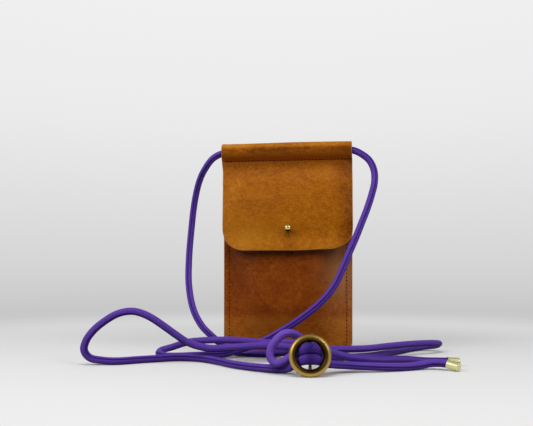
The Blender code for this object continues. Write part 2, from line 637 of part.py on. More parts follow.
def cords():
    """The one long cord, cut where it changes place, with its two capped ends."""
    frame = ring_frame()

    def on_ring(points):
        return [tuple(frame @ Vector(p)) for p in points]

    exit_y = INNER_Y - LOOP_RADIUS
    mouth = BAG_WIDTH / 2
    cord_piece("cord_in_loop", [(-mouth + GAP / 2, exit_y, CORD_Z), (mouth - GAP / 2, exit_y, CORD_Z)], CORD)
    runs = (
        (-1, LEFT_ROUTE, "cord_lower_lead", LOWER_LEAD, "cord_lower_weave", LOWER_WEAVE,
         "cord_lower_tail", LOWER_TAIL_START, LOWER_TAIL, "lower_end_cap"),
        (1, RIGHT_ROUTE, "cord_upper_lead", UPPER_LEAD, "cord_upper_weave", UPPER_WEAVE,
         "cord_upper_tail", UPPER_TAIL_START, UPPER_TAIL, "upper_end_cap"),
    )
    for side, route, lead, lead_points, weave, weave_points, tail, tail_start, tail_points, cap in runs:
        start = (side * mouth, exit_y, CORD_Z)
        straight = (side * (mouth + CORD_RADIUS), exit_y, CORD_Z)
        stretches = [(name, list(points)) for name, points in route.items()]
        stretches[0][1][:0] = [start, straight]
        stretches.append((lead, on_ring(lead_points)))
        stretches.append((weave, on_ring(weave_points)))
        stretches.append((tail, on_ring([tail_start]) + list(tail_points)))
        line, length, marks = smooth_route([p for _, points in stretches for p in points])
        at = 0
        for name, points in stretches:
            first = marks[at]
            at += len(points)
            last = marks[min(at, len(marks) - 1)]
            turn = WEAVE_TURN if name == weave else CORD_TURN
            piece = cut_line(line, length, first + GAP / 2, last - GAP / 2, turn)
            cord_piece(name, piece, CORD, frame.translation if name == weave else None)
        along = line[-1] - line[-2]
        along /= np.linalg.norm(along)
        seat = CAP_BORE_DEPTH - GAP
        end_cap(cap, Vector(line[-1] - along * seat), Vector(along))


clear_scene()
MODEL = new_collection("mini_bag")
CUTTERS = new_collection("cutters")
TAN = material("back_leather", (0.42, 0.17, 0.05), 0.55)
GOLDEN = material("flap_leather", (0.52, 0.23, 0.06), 0.5)
DARK = material("pocket_leather", (0.30, 0.09, 0.03), 0.55)
BRASS = material("brass", (0.78, 0.60, 0.28), 0.22, 1.0)
CORD = material("braided_cord", (0.12, 0.06, 0.33), 0.75)
back_panel()
front_panel()
flap()
stud_ball()
stud_screw()
slider_ring()
cords()
bpy.context.view_layer.update()
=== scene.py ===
# %% [markdown]
# # A mini leather bag on a long braided cord
# This lesson dresses a bare engineering model of a small crossbody bag. One strip of leather is the
# bag's back, the loop over the cord and the flap in front. A darker panel swells out as the pocket, a
# brass ball stud closes the flap, and 2 m of braided cord runs through the loop and a ring slider.
# Every shape is worked out with numpy as a grid of points, and every finish is made from nodes.

# %% Load the frame
import math

import bpy
import numpy as np
from mathutils import Matrix, Vector


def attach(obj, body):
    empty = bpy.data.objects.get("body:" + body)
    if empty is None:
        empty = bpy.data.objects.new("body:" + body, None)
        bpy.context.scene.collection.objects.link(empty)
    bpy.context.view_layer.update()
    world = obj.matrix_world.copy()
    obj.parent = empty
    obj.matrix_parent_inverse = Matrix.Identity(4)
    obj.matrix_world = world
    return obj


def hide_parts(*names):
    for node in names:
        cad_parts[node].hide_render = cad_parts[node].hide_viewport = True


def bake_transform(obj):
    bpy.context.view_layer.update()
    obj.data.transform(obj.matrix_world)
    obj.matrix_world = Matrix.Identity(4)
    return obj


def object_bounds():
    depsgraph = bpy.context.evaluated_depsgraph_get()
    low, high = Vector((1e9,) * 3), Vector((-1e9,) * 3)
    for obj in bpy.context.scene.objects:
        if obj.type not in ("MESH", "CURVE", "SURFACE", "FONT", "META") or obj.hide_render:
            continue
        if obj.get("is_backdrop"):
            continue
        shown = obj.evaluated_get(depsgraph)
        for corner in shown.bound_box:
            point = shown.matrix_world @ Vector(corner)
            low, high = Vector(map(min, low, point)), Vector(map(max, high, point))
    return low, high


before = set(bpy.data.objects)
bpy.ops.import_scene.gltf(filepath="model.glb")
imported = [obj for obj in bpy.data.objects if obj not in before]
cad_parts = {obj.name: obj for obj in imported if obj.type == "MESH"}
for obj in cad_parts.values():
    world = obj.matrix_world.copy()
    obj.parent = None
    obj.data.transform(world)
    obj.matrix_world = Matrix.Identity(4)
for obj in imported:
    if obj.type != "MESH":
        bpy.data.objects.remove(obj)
cad_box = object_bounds()

# %% [markdown]
# ## Camera
# A product shot like this is taken with a level camera a little above the floor, so upright edges stay
# parallel. The bag stands low in the picture, which is a lens shift and no tilt. The focal length
# follows from how fast the floor spreads out towards the viewer.

# %% Camera
PHOTO_WIDTH, PHOTO_HEIGHT = 533, 426
FOCAL_PIXELS = 559.0
HORIZON_ROW = 280.0
CAMERA_PLACE = (0.0349, -0.5098, 0.0700)
CAMERA_TURN = math.radians(6.0)

camera = bpy.data.cameras.new("camera")
camera.sensor_width = 36.0
camera.lens = camera.sensor_width * FOCAL_PIXELS / PHOTO_WIDTH
camera.shift_y = (HORIZON_ROW - PHOTO_HEIGHT / 2) / PHOTO_WIDTH
camera.clip_start = 0.01
camera_object = bpy.data.objects.new("camera", camera)
camera_object.location = CAMERA_PLACE
camera_object.rotation_euler = (math.radians(90.0), 0.0, CAMERA_TURN)
bpy.context.collection.objects.link(camera_object)
bpy.context.scene.camera = camera_object
bpy.context.scene.view_settings.view_transform = "Standard"
print("lens %.1f mm, shift %.3f" % (camera.lens, camera.shift_y))

# %% [markdown]
# ## Small tools
# A few rules come back in every shape: directions of length one, a bell curve, a smooth step, and the
# distance along a line. Each is one function here.

# %% Small tools
def unit(vectors):
    """The same directions with length one."""
    return vectors / np.maximum(np.linalg.norm(vectors, axis=-1, keepdims=True), 1e-12)


def bell(distance, reach):
    """Bell curve: e to the minus square of distance over reach, 1 in the middle and near 0 at twice it."""
    return np.exp(-(distance / reach) ** 2)


def eased(value, start, full):
    """Smooth step: 0 up to start, 1 from full on, and t squared times 3 less 2t between them."""
    t = np.clip((value - start) / (full - start), 0.0, 1.0)
    return t * t * (3.0 - 2.0 * t)


def distances(line):
    """Distance along the line at each of its points: the lengths of its steps so far, added up."""
    return np.concatenate([[0.0], np.cumsum(np.linalg.norm(np.diff(line, axis=0), axis=1))])


def places_at(line, length, along):
    """Places on the line at the given distances along it, straight between its points."""
    return np.column_stack([np.interp(along, length, values) for values in line.T])


def even_steps(line, step):
    """The same line with its points an even step apart, and their distances along it."""
    length = distances(line)
    along = np.linspace(0.0, length[-1], int(round(length[-1] / step)) + 1)
    return places_at(line, length, along), along


def moved(points, matrix):
    """Points times a 4 by 4 matrix, for any array whose last axis is x, y, z."""
    turn = np.array(matrix)
    return np.asarray(points, float) @ turn[:3, :3].T + turn[:3, 3]


print("half way up a smooth step:", eased(0.5, 0.0, 1.0))

# %% [markdown]
# ## Grids of points
# Nearly every piece here is a surface with two parameters, sampled on a grid of rows and columns. The
# columns can close into a tube and the rows into a ring, and a tube's ends are gathered into poles, so
# that a turned part has no open seam. Every mesh is turned outward by the sign of its own volume.

# %% Mesh from a grid
SHARP_ANGLE = math.radians(50.0)


def signed_volume(mesh):
    """Volume of a closed mesh: the sum of each triangle's cone to zero, a times the cross of b and c, / 6."""
    mesh.calc_loop_triangles()
    corners = np.empty(len(mesh.loop_triangles) * 3, np.int32)
    mesh.loop_triangles.foreach_get("vertices", corners)
    points = np.empty(len(mesh.vertices) * 3)
    mesh.vertices.foreach_get("co", points)
    a, b, c = points.reshape(-1, 3)[corners.reshape(-1, 3)].transpose(1, 0, 2)
    return np.sum(a * np.cross(b, c)) / 6


def build_mesh(name, points, faces, materials, slots=None, corner_uv=None):
    """A smooth-shaded object from points and faces, a material slot for each face, and UV by corner."""
    mesh = bpy.data.meshes.new(name)
    mesh.from_pydata(points.tolist(), [], faces)
    mesh.polygons.foreach_set("use_smooth", np.ones(len(mesh.polygons), bool))
    for finish in materials:
        mesh.materials.append(finish)
    if slots is not None:
        mesh.polygons.foreach_set("material_index", np.asarray(slots, np.int32))
    if corner_uv is not None:
        layer = mesh.uv_layers.new(name="along")
        layer.data.foreach_set("uv", corner_uv.astype(np.float32).ravel())
    mesh.update()
    if signed_volume(mesh) < 0:
        mesh.flip_normals()
    piece = bpy.data.objects.new(name, mesh)
    bpy.context.collection.objects.link(piece)
    return piece


def grid_faces(rows, columns, close_rows=False, close_columns=False, start=0):
    """Four-cornered faces between neighbours of a grid, numbered row by row from start."""
    i = np.arange(rows if close_rows else rows - 1)[:, None]
    j = np.arange(columns if close_columns else columns - 1)[None, :]
    after_i, after_j = (i + 1) % rows, (j + 1) % columns
    corners = [start + a * columns + b for a, b in ((i, j), (i, after_j), (after_i, after_j), (after_i, j))]
    return np.stack(np.broadcast_arrays(*corners), axis=-1).reshape(-1, 4)


def tube_faces(rows, columns):
    """A grid closed round its columns, and at each end a fan to the pole, numbered after the grid."""
    j = np.arange(columns)
    after, last = (j + 1) % columns, (rows - 1) * columns
    first_fan = np.stack([after, j, np.full(columns, rows * columns)], axis=1)
    last_fan = np.stack([last + j, last + after, np.full(columns, rows * columns + 1)], axis=1)
    return grid_faces(rows, columns, close_columns=True).tolist() + first_fan.tolist() + last_fan.tolist()


def tube_piece(name, grid, materials, poles, along=None):
    """A closed tube. Its UV, if distances are given, is the share of the turn and the distance along."""
    rows, columns = grid.shape[:2]
    uv = None
    if along is not None:
        row, column = np.divmod(np.arange((rows - 1) * columns), columns)
        low, high = along[row], along[row + 1]
        left, right = column / columns, (column + 1) / columns
        uv = np.stack([left, low, right, low, right, high, left, high], axis=1).reshape(-1, 2)
        for level in (along[0], along[-1]):
            fan = np.stack([np.arange(columns) / columns, np.full(columns, level)], axis=1)
            uv = np.vstack([uv, np.repeat(fan, 3, axis=0)])
    points = np.vstack([grid.reshape(-1, 3), np.reshape(poles, (2, 3))])
    piece = build_mesh(name, points, tube_faces(rows, columns), materials, corner_uv=uv)
    piece.data.set_sharp_from_angle(angle=SHARP_ANGLE)
    return piece


def kept(piece, name, values):
    """A value kept for each point of a piece; points past the list get its last one."""
    layer = piece.data.attributes.new(name, "FLOAT", "POINT")
    full = np.full(len(piece.data.vertices), float(np.ravel(values)[-1]), np.float32)
    full[:np.size(values)] = np.ravel(values)
    layer.data.foreach_set("value", full)


print("a tube of 5 rings of 8 points has", len(tube_faces(5, 8)), "faces")

# %% [markdown]
# ## The cord's route
# The real cord is one braided line, 2.05 m long. From the loop's left mouth it drops to the floor, runs
# behind the ring and back, stands up in a springy loop on the left and ends in the ring slider. From
# the right mouth it crosses in front of the pocket, lies in a small loop and comes to the same ring.
# The points below are places along its middle, in tenths of a millimetre. The two passes go through the
# ring and are given on the ring's own axes.

# %% Route of the cord
CORD_DIAMETER = 0.0062
CORD_RADIUS = CORD_DIAMETER / 2
LOOP_MOUTH = 0.0597
TUNNEL_CUT = 0.0537
LOOP_AXIS = (0.00625, 0.1886)
TENTHS_PER_METRE = 10000

LEFT_RUN = [
    (-697, 72, 1843), (-793, 112, 1738), (-855, 166, 1635), (-908, 210, 1455), (-940, 207, 1184),
    (-946, 136, 891), (-919, 28, 644), (-842, -104, 422), (-752, -165, 287), (-666, -186, 207),
    (-580, -132, 120), (-500, -54, 48), (-412, -35, 31), (-282, -60, 31), (-152, -80, 33),
    (-2, -110, 50), (128, -150, 72), (258, -185, 88), (428, -200, 97), (688, -130, 97),
    (938, 42, 105), (1178, 218, 107), (1368, 359, 100), (1442, 447, 86), (1428, 556, 55),
    (1328, 590, 38), (1188, 490, 31), (968, 180, 31), (768, -60, 31), (608, -165, 31),
    (458, -225, 33), (308, -290, 55), (158, -350, 105), (8, -400, 138), (-192, -410, 146),
    (-422, -420, 130), (-631, -444, 123), (-794, -476, 169), (-894, -522, 241), (-990, -562, 319),
    (-1087, -593, 389), (-1168, -607, 427), (-1252, -620, 442), (-1355, -641, 421),
    (-1458, -662, 360), (-1546, -681, 283), (-1601, -697, 200), (-1616, -699, 125), (-1579, -680, 63),
    (-1476, -659, 38), (-1352, -639, 31), (-1208, -537, 31), (-1074, -457, 31), (-952, -388, 31),
    (-814, -374, 31), (-663, -438, 31), (-511, -568, 31), (-360, -727, 31), (-234, -816, 31),
]
RIGHT_RUN = [
    (666, 54, 1854), (744, 52, 1791), (787, 37, 1696), (790, 7, 1582), (760, -37, 1459),
    (717, -81, 1329), (664, -137, 1195), (611, -193, 1064), (551, -250, 928), (492, -296, 785),
    (424, -323, 647), (312, -335, 511), (142, -313, 371), (-47, -252, 245), (-184, -196, 167),
    (-318, -160, 107), (-424, -141, 70), (-542, -163, 40), (-682, -180, 31), (-792, -220, 31),
    (-922, -280, 31), (-1042, -300, 33), (-1122, -250, 45), (-1127, -160, 64), (-1044, -116, 87),
    (-883, -179, 141), (-753, -236, 163), (-612, -271, 174), (-473, -287, 177), (-335, -292, 171),
    (-179, -286, 158), (3, -277, 161), (90, -288, 162), (160, -321, 170), (217, -385, 168),
    (259, -481, 163), (270, -590, 165), (248, -701, 184), (196, -786, 228), (151, -847, 267),
    (117, -891, 291), (81, -921, 303), (41, -936, 297), (-5, -942, 261), (-39, -940, 216),
    (-56, -937, 180),
]
LOWER_PASS = [
    (-274, 182, -88), (-210, 178, -92), (-152, 134, -86), (-98, 76, -50), (-69, 43, -38),
    (-49, 6, -32), (-29, -22, -28), (0, -34, -27), (29, -22, -28), (49, 5, -30), (69, 38, -35),
    (98, 69, -42), (150, 110, -56),
]
UPPER_PASS = [
    (-288, 134, 18), (-282, 134, -16), (-261, 128, -41), (-236, 116, -52), (-204, 107, -46),
    (-176, 100, -32), (-150, 95, -12), (-98, 66, 19), (-69, 38, 34), (-49, 6, 43), (-29, -22, 50),
    (0, -34, 52), (29, -22, 51), (49, 5, 43), (69, 38, 36), (98, 69, 31), (150, 110, 27),
]
LOWER_TAIL = [
    (528, -840, 56), (738, -790, 42), (948, -710, 31), (1093, -635, 36), (1158, -614, 46),
    (1213, -616, 52), (1263, -638, 53), (1308, -664, 47), (1350, -690, 38),
]
UPPER_TAIL = [
    (538, -780, 108), (758, -640, 73), (978, -530, 63), (1148, -466, 45), (1278, -438, 41),
    (1343, -430, 40), (1408, -428, 37),
]
print("route points", len(LEFT_RUN) + len(RIGHT_RUN))

# %% [markdown]
# ## The ring's own axes
# The ring stands on its rim, leans back a little against the cord and is turned slightly. Points near
# it are easier to give on its own axes, so one matrix takes them to the bag's axes.

# %% Axes of the ring
RING_OUTER = 0.0310
RING_WIRE = 0.0056
RING_RADIUS = (RING_OUTER - RING_WIRE) / 2
RING_FOOT = (0.0242, -0.1068, 0.0)
RING_TURN = math.radians(6.0)
RING_LEAN = math.radians(10.0)

RING_AXES = (
    Matrix.Translation(RING_FOOT) @ Matrix.Rotation(RING_TURN, 4, "Z")
    @ Matrix.Translation((0.0, RING_RADIUS * math.sin(RING_LEAN),
                          RING_RADIUS * math.cos(RING_LEAN) + RING_WIRE / 2))
    @ Matrix.Rotation(-RING_LEAN, 4, "X")
)
RING_CENTRE = np.array(RING_AXES.translation)
RING_DIRECTIONS = np.array(RING_AXES.to_3x3())
print("ring centre", RING_CENTRE.round(4))

# %% [markdown]
# ## A spline through the route
# A centripetal spline joins the points. It passes through each of them and never makes a kink or a
# knot between two that are close together.

# %% Spline
SPAN_STEPS = 24


def through(points):
    """Centripetal Catmull-Rom: in each span three rounds of straight blends between four neighbours,
    with knots as far apart as the square root of the distance. The floor holds the line up."""
    full = np.vstack([2 * points[:1] - points[1:2], points, 2 * points[-1:] - points[-2:-1]])
    gaps = np.sqrt(np.linalg.norm(np.diff(points, axis=0), axis=1))
    knots = np.concatenate([[0.0], np.cumsum(np.concatenate([gaps[:1], gaps, gaps[-1:]]))])
    k = [knots[i:len(knots) - 3 + i, None] for i in range(4)]
    p = [full[i:len(full) - 3 + i, None, :] for i in range(4)]
    t = k[1] + (k[2] - k[1]) * np.linspace(0.0, 1.0, SPAN_STEPS + 1)[None, 1:]

    def mix(a, b, low, high):
        share = ((t - low) / (high - low))[..., None]
        return (1 - share) * a + share * b

    a1, a2, a3 = (mix(p[i], p[i + 1], k[i], k[i + 1]) for i in range(3))
    b1, b2 = mix(a1, a2, k[0], k[2]), mix(a2, a3, k[1], k[3])
    line = np.vstack([points[:1], mix(b1, b2, k[1], k[2]).reshape(-1, 3)])
    line[:, 2] = np.maximum(line[:, 2], CORD_RADIUS)
    return line


print("a line through three points has", len(through(np.eye(3))), "places")

# %% [markdown]
# ## The braid's shape
# The sheath is braided from eight bundles of yarn. Over its soft core they show as shallow lengthwise
# ribs, and the cord has been folded flat in its packing, which left a deeper crease on two opposite
# sides. So its section is a circle with eight grooves, two of them deep, carried along the route
# without twist of its own and then turned very slowly with the distance. Over the bar the cord is
# under load, and a braid under load flattens.

# %% Cord surface
CORD_STEP = 0.0012
CORD_SIDES = 64
CORD_RIBS = 8
GROOVE_DEPTH, GROOVE_POWER = 0.00010, 0.6
CREASE_DEPTH, CREASE_WIDTH = 0.00062, 0.20
CREASE_FACES_FRONT = 0.150
BRAID_TURN_LENGTH = 2.6
FIRST_SIDE = (0.3, 0.2, 0.93)
PULLED_REACH = 0.0300
# Painted light: the one small turn is painted lighter.
PAINTED_LIGHT_TURN = (0.0010, -0.0935, 0.0200)
PAINTED_LIGHT_REACH, PAINTED_LIGHT_SHARE = 0.0160, 0.70
PRESS, PRESS_REACH = (0.0, -0.20, 0.30), 0.0092
PRESS_LIMIT, PRESS_FADE = 0.0240, 0.0060
# Painted shade: the strands are painted darker where they run over the bar inside the ring.
PAINTED_BAR_SHADE, PAINTED_BAR_SHADE_REACH = 1.1, 0.0027


def carried_axes(path):
    """Tangents of the path and one side direction that is carried along it without turning round it."""
    tangent = unit(np.gradient(path, axis=0))
    side = np.empty_like(path)
    now = np.cross(tangent[0], FIRST_SIDE)
    for i, ahead in enumerate(tangent):
        now = unit(now - ahead * (now @ ahead))
        side[i] = now
    return tangent, side


def near_bar(path, reach):
    """A bell curve of the distance along the slide from the bar, for the strands inside the ring only."""
    local = (path - RING_CENTRE) @ RING_DIRECTIONS
    inside = np.clip((PRESS_LIMIT - np.linalg.norm(local, axis=1)) / PRESS_FADE, 0.0, 1.0)
    return (bell(local[:, 0], reach) * inside)[:, None]


def cord_surface(path, along):
    """Radius R less eight shallow grooves and two deep creases. A crease faces the front where the cord
    hangs, and from there the section turns once in a few metres. Near the ring the cord is pulled full
    again, and over the bar it is flatter front to back and wider up and down. Gives the surface and how
    dark each of its points is painted: painted shade deep in the crease, less painted light on the one
    small turn, and more painted shade where the strands run over the bar inside the ring."""
    tangent, side = carried_axes(path)
    other = np.cross(tangent, side)
    middle = min(int(CREASE_FACES_FRONT / CORD_STEP), len(path) - 1)
    start = math.atan2(-other[middle, 1], -side[middle, 1])
    angle = np.arange(CORD_SIDES) / CORD_SIDES * math.tau
    groove = 1.0 - np.abs(np.sin(CORD_RIBS / 2 * angle)) ** GROOVE_POWER
    slack = 1.0 - bell(np.linalg.norm(path - RING_CENTRE, axis=1), PULLED_REACH)
    crease = bell(np.sin(angle), CREASE_WIDTH)[None, :] * slack[:, None]
    radius = CORD_RADIUS - GROOVE_DEPTH * groove[None, :] - CREASE_DEPTH * crease
    twist = start + math.tau * (along - along[middle]) / BRAID_TURN_LENGTH
    turned = angle[None, :] + twist[:, None]
    ring = np.cos(turned)[..., None] * side[:, None, :] + np.sin(turned)[..., None] * other[:, None, :]
    pressed = 1.0 + near_bar(path, PRESS_REACH) * np.array(PRESS)
    offset = (ring * radius[:, :, None]) @ RING_DIRECTIONS * pressed[:, None, :]
    # Painted light on the small turn, painted shade in the creases and over the bar.
    painted_shading = bell(np.linalg.norm(path - np.array(PAINTED_LIGHT_TURN), axis=1), PAINTED_LIGHT_REACH)[:, None]
    shade = crease - PAINTED_LIGHT_SHARE * painted_shading + PAINTED_BAR_SHADE * near_bar(path, PAINTED_BAR_SHADE_REACH)
    return path[:, None, :] + offset @ RING_DIRECTIONS.T, shade


# %% [markdown]
# ## Making a finish
# Colours are chosen as they look on a screen, in sRGB hex, and turned to the linear values that the
# renderer counts in. One small function adds a node, sets it up and links it, and the finishes below
# are all written with it.

# %% Nodes and colours
def linear(colour):
    """sRGB hex to linear: a straight piece below 0.04045 and a power of 2.4 above it."""
    values = np.array([int(colour[i:i + 2], 16) / 255.0 for i in (0, 2, 4)])
    low, high = values / 12.92, ((values + 0.055) / 1.055) ** 2.4
    return (*np.where(values <= 0.04045, low, high).tolist(), 1.0)


def feed(node, **inputs):
    """Gives inputs of a node their values or links. An underscore is a space, and _6 means input 6."""
    for key, value in inputs.items():
        socket = node.inputs[int(key[1:]) if key[0] == "_" else key.replace("_", " ")]
        if isinstance(value, bpy.types.NodeSocket):
            node.id_data.links.new(value, socket)
        else:
            socket.default_value = value


def add(tree, kind, *values, stops=(), **named):
    """A node of that kind, as its first output. Plain values go to its inputs in order. A name with a
    small first letter is a setting, any other an input, and stops are a ramp's places and hex colours."""
    node = tree.nodes.new("ShaderNode" + kind)
    inputs = {"_%d" % i: value for i, value in enumerate(values)}
    for key, value in named.items():
        if key[0].islower():
            setattr(node, key, value)
        else:
            inputs[key] = value
    feed(node, **inputs)
    for i, (place, colour) in enumerate(stops):
        elements = node.color_ramp.elements
        element = elements[i] if i < len(elements) else elements.new(place)
        element.position, element.color = place, linear(colour)
    return node.outputs[0] if node.outputs else node


def new_finish(name, **shader_values):
    """An empty material with a Principled shader whose plain values are set on its own sockets."""
    finish = bpy.data.materials.new(name)
    finish.use_nodes = True
    tree = finish.node_tree
    tree.nodes.clear()
    shader = add(tree, "BsdfPrincipled", **shader_values)
    add(tree, "OutputMaterial", Surface=shader)
    return finish, tree, shader.node


def shifted_places(tree, shift):
    """Places on the piece, and the same moved by a shift, so that no two finishes show the same patch."""
    place = add(tree, "TexCoord").node.outputs["Object"]
    return place, add(tree, "Mapping", Vector=place, Location=shift)


print("mid grey is", round(linear("808080")[0], 3), "in linear light")

# %% [markdown]
# ## Braided polyester
# The sheath is dyed polyester yarn. Each bundle crosses over and under its neighbours, so every rib
# shows a chain of small slanting stitches; the dips between stitches and the gaps between ribs are
# painted darker as painted shade. Yarn is a rough surface with a soft sheen at grazing angles. The
# pattern follows the piece's own UV: across is the turn round the cord, and along is the distance in
# metres.

# %% Cord finish
STITCH_PITCH = 0.0018
TICKS_ROUND = 16.0
GAP_POWER = 6.0
YARN_TONE, BODY_TONE, PAINTED_SHADE_TONE = (0.36, 0.57), (0.25, 0.80), -0.40
VIOLETS = [(0.0, "12063E"), (0.45, "321A6D"), (0.80, "57339F"), (1.0, "7B56C4")]

cord_finish, tree, shader = new_finish(
    "braided_polyester_violet", Roughness=0.50, Specular_IOR_Level=0.15, Sheen_Weight=0.03,
    Sheen_Roughness=0.4, Sheen_Tint=linear("B49CE0"))
across, distance = add(tree, "SeparateXYZ", add(tree, "UVMap", uv_map="along")).node.outputs[:2]
lane = add(tree, "Math", across, TICKS_ROUND, operation="MULTIPLY")
slant = add(tree, "Math", lane, 1.0, operation="PINGPONG")
pitches = add(tree, "Math", distance, STITCH_PITCH, operation="DIVIDE")
phase = add(tree, "Math", pitches, slant, operation="ADD")
wave = add(tree, "Math", add(tree, "Math", phase, math.tau, operation="MULTIPLY"), operation="SINE")
yarn = add(tree, "Math", wave, 0.5, 0.5, operation="MULTIPLY_ADD")
from_middle = add(tree, "Math", add(tree, "Math", slant, 0.5, operation="SUBTRACT"), operation="ABSOLUTE")
between = add(tree, "Math", from_middle, 2.0, operation="MULTIPLY")
gap = add(tree, "Math", between, GAP_POWER, operation="POWER")
body = add(tree, "Math", 1.0, gap, operation="SUBTRACT")
height = add(tree, "Math", yarn, 0.7, body, operation="MULTIPLY_ADD")
# lit_yarn and lit_body are painted shade: darker in the dips between stitches and in the gaps between ribs.
lit_yarn = add(tree, "Math", yarn, *YARN_TONE, operation="MULTIPLY_ADD")
lit_body = add(tree, "Math", body, *BODY_TONE, operation="MULTIPLY_ADD")
tone = add(tree, "Math", lit_yarn, lit_body, operation="MULTIPLY")
# The shade attribute: painted shade in the deep creases and over the bar, painted light on the small turn.
crease = add(tree, "Attribute", attribute_name="shade").node.outputs["Fac"]
tone = add(tree, "Math", crease, PAINTED_SHADE_TONE, tone, operation="MULTIPLY_ADD")
feed(shader, Base_Color=add(tree, "ValToRGB", tone, stops=VIOLETS),
     Normal=add(tree, "Bump", Strength=0.5, Distance=0.0002, Height=height))
print("cord finish has", len(tree.nodes), "nodes")

# %% [markdown]
# ## The cord in its stretches
# The cord is one line, but the ring can slide on it. So it is cut where it changes from lying still to
# moving: the two runs lie with the bag, the short passes through the ring bend from the bag to the
# slider, and the two tails bend back from the slider to the bag. The surface is worked out once along
# the whole run and then cut, so neighbours share a ring of points and no joint shows.

# %% Cord pieces
def metres(table):
    """A table of the route in metres."""
    return np.array(table) / TENTHS_PER_METRE


cord_parts = {}
tail_ends = {}


def cord_piece(name, grid, shade, path, along):
    """One stretch of the braided cord as a closed tube, with the distance carried on in its UV."""
    piece = tube_piece(name, grid, [cord_finish], (path[0], path[-1]), along)
    kept(piece, "shade", shade)
    cord_parts[name] = (piece, path)
    print(name, "%.1f mm, %d faces" % ((along[-1] - along[0]) * 1000, len(piece.data.polygons)))


for side, label, row, run, passing, tail in (
    (-1, "left", "lower", LEFT_RUN, LOWER_PASS, LOWER_TAIL),
    (1, "right", "upper", RIGHT_RUN, UPPER_PASS, UPPER_TAIL),
):
    mouth = [(side * TUNNEL_CUT, *LOOP_AXIS), (side * LOOP_MOUTH, *LOOP_AXIS)]
    line = through(np.vstack([mouth, metres(run), moved(metres(passing), RING_AXES), metres(tail)]))
    length = distances(line)
    path, along = even_steps(line, CORD_STEP)
    grid, shade = cord_surface(path, along)
    lead = len(mouth) + len(run)
    joints = [length[SPAN_STEPS * point] for point in (lead, lead + len(passing) - 1)]
    cuts = [0] + [int(round(at / along[1])) for at in joints] + [len(path) - 1]
    for name, first, last in zip((label + "_cord", row + "_pass", row + "_tail"), cuts[:-1], cuts[1:]):
        part = slice(first, last + 1)
        cord_piece(name, grid[part], shade[part], path[part], along[part])
    tail_ends[row] = (line[-1], unit(line[-1] - line[-2]))

path, along = even_steps(np.array([(-TUNNEL_CUT, *LOOP_AXIS), (TUNNEL_CUT, *LOOP_AXIS)]), CORD_STEP)
cord_piece("loop_cord", *cord_surface(path, along), path, along)

# %% [markdown]
# ## Leather panels
# Each leather part is a sheet 1.9 mm thick: a smooth grain side outside, a fuzzy flesh side inside and
# a cut edge all round. A grid gives the grain side, the flesh side lies one thickness behind it along
# the surface's own normals, and rows along the rim bulge out in a half round to make the burnished
# edge. The three kinds of surface get a material slot each.

# %% Sheet of leather
LEATHER = 0.0019
EDGE_STEPS = 5
EDGE_ROUND = 0.0007


def rim_of(rows, columns):
    """Grid numbers round the rim, once, in order."""
    top = np.arange(columns)
    right = np.arange(1, rows) * columns + columns - 1
    bottom = (rows - 1) * columns + np.arange(columns - 2, -1, -1)
    left = np.arange(rows - 2, 0, -1) * columns
    return np.concatenate([top, right, bottom, left])


def leather_sheet(name, grid, finishes):
    """Grain grid, flesh grid one thickness inward, and half-round rows between their rims. The normal
    is the cross product of the grid's slopes along rows and along columns."""
    rows, columns = grid.shape[:2]
    normal = unit(np.cross(np.gradient(grid, axis=0), np.gradient(grid, axis=1)))
    flesh = grid - LEATHER * normal
    rim = rim_of(rows, columns)
    outer, inner, face_normal = (values.reshape(-1, 3)[rim] for values in (grid, flesh, normal))
    away = unit(np.cross(np.roll(outer, -1, axis=0) - np.roll(outer, 1, axis=0), face_normal))
    if np.sum(away * (outer - grid.reshape(-1, 3).mean(axis=0))) < 0:
        away = -away
    angle = np.linspace(0.0, math.pi, EDGE_STEPS + 2)[1:-1, None, None]
    edge = (outer + inner) / 2 + face_normal * LEATHER / 2 * np.cos(angle) + away * EDGE_ROUND * np.sin(angle)
    points = np.vstack([part.reshape(-1, 3) for part in (grid, flesh, edge)])
    count, ring = rows * columns, len(rim)
    front = grid_faces(rows, columns)
    back = grid_faces(rows, columns, start=count)[:, ::-1]
    loops = np.vstack([rim, 2 * count + np.arange(EDGE_STEPS * ring).reshape(EDGE_STEPS, ring), count + rim])
    ahead = np.roll(loops, -1, axis=1)
    band = np.stack([loops[:-1], loops[1:], ahead[1:], ahead[:-1]], axis=-1).reshape(-1, 4)
    slots = np.repeat([0, 1, 2], [len(front), len(back), len(band)])
    piece = build_mesh(name, points, np.vstack([front, back, band]).tolist(), finishes, slots)
    print(name, "%.1f cm3" % (signed_volume(piece.data) * 1e6))
    return piece


print("the rim of a 4 by 5 grid has", len(rim_of(4, 5)), "points")

# %% [markdown]
# ## Vegetable-tanned leather
# The hide is tanned with bark, waxed and left with its natural grain, so its brown is never even: broad
# cloudy patches a few centimetres wide, smudges of half a centimetre and mottling of one to three
# millimetres, both drawn out a little across the bag, and fine pores. On top of these, bands and soft
# patches are painted lighter or darker as painted light, painted shade and painted sheen. Waxed grain
# is fairly smooth, with a broad soft highlight. The pores are under 0.5 mm on the hide and are drawn
# about 0.8 mm here so that they show.

# %% Leather finish
# How many to a metre: clouds 24 mm wide, smudges 6 mm, mottling 2.5 mm and pores 0.9 mm.
CLOUDS, SMUDGES, MOTTLING, PORES = 42.0, 170.0, 400.0, 1150.0
WRINKLE_STRETCH = (0.8, 1.0, 1.25)
BROWN_PLACES = (0.10, 0.42, 0.62, 1.0)
TONE_START, TONE_SHARES = -0.54, (0.58, 0.95, 0.55)
GLOSS_SWING = 0.28


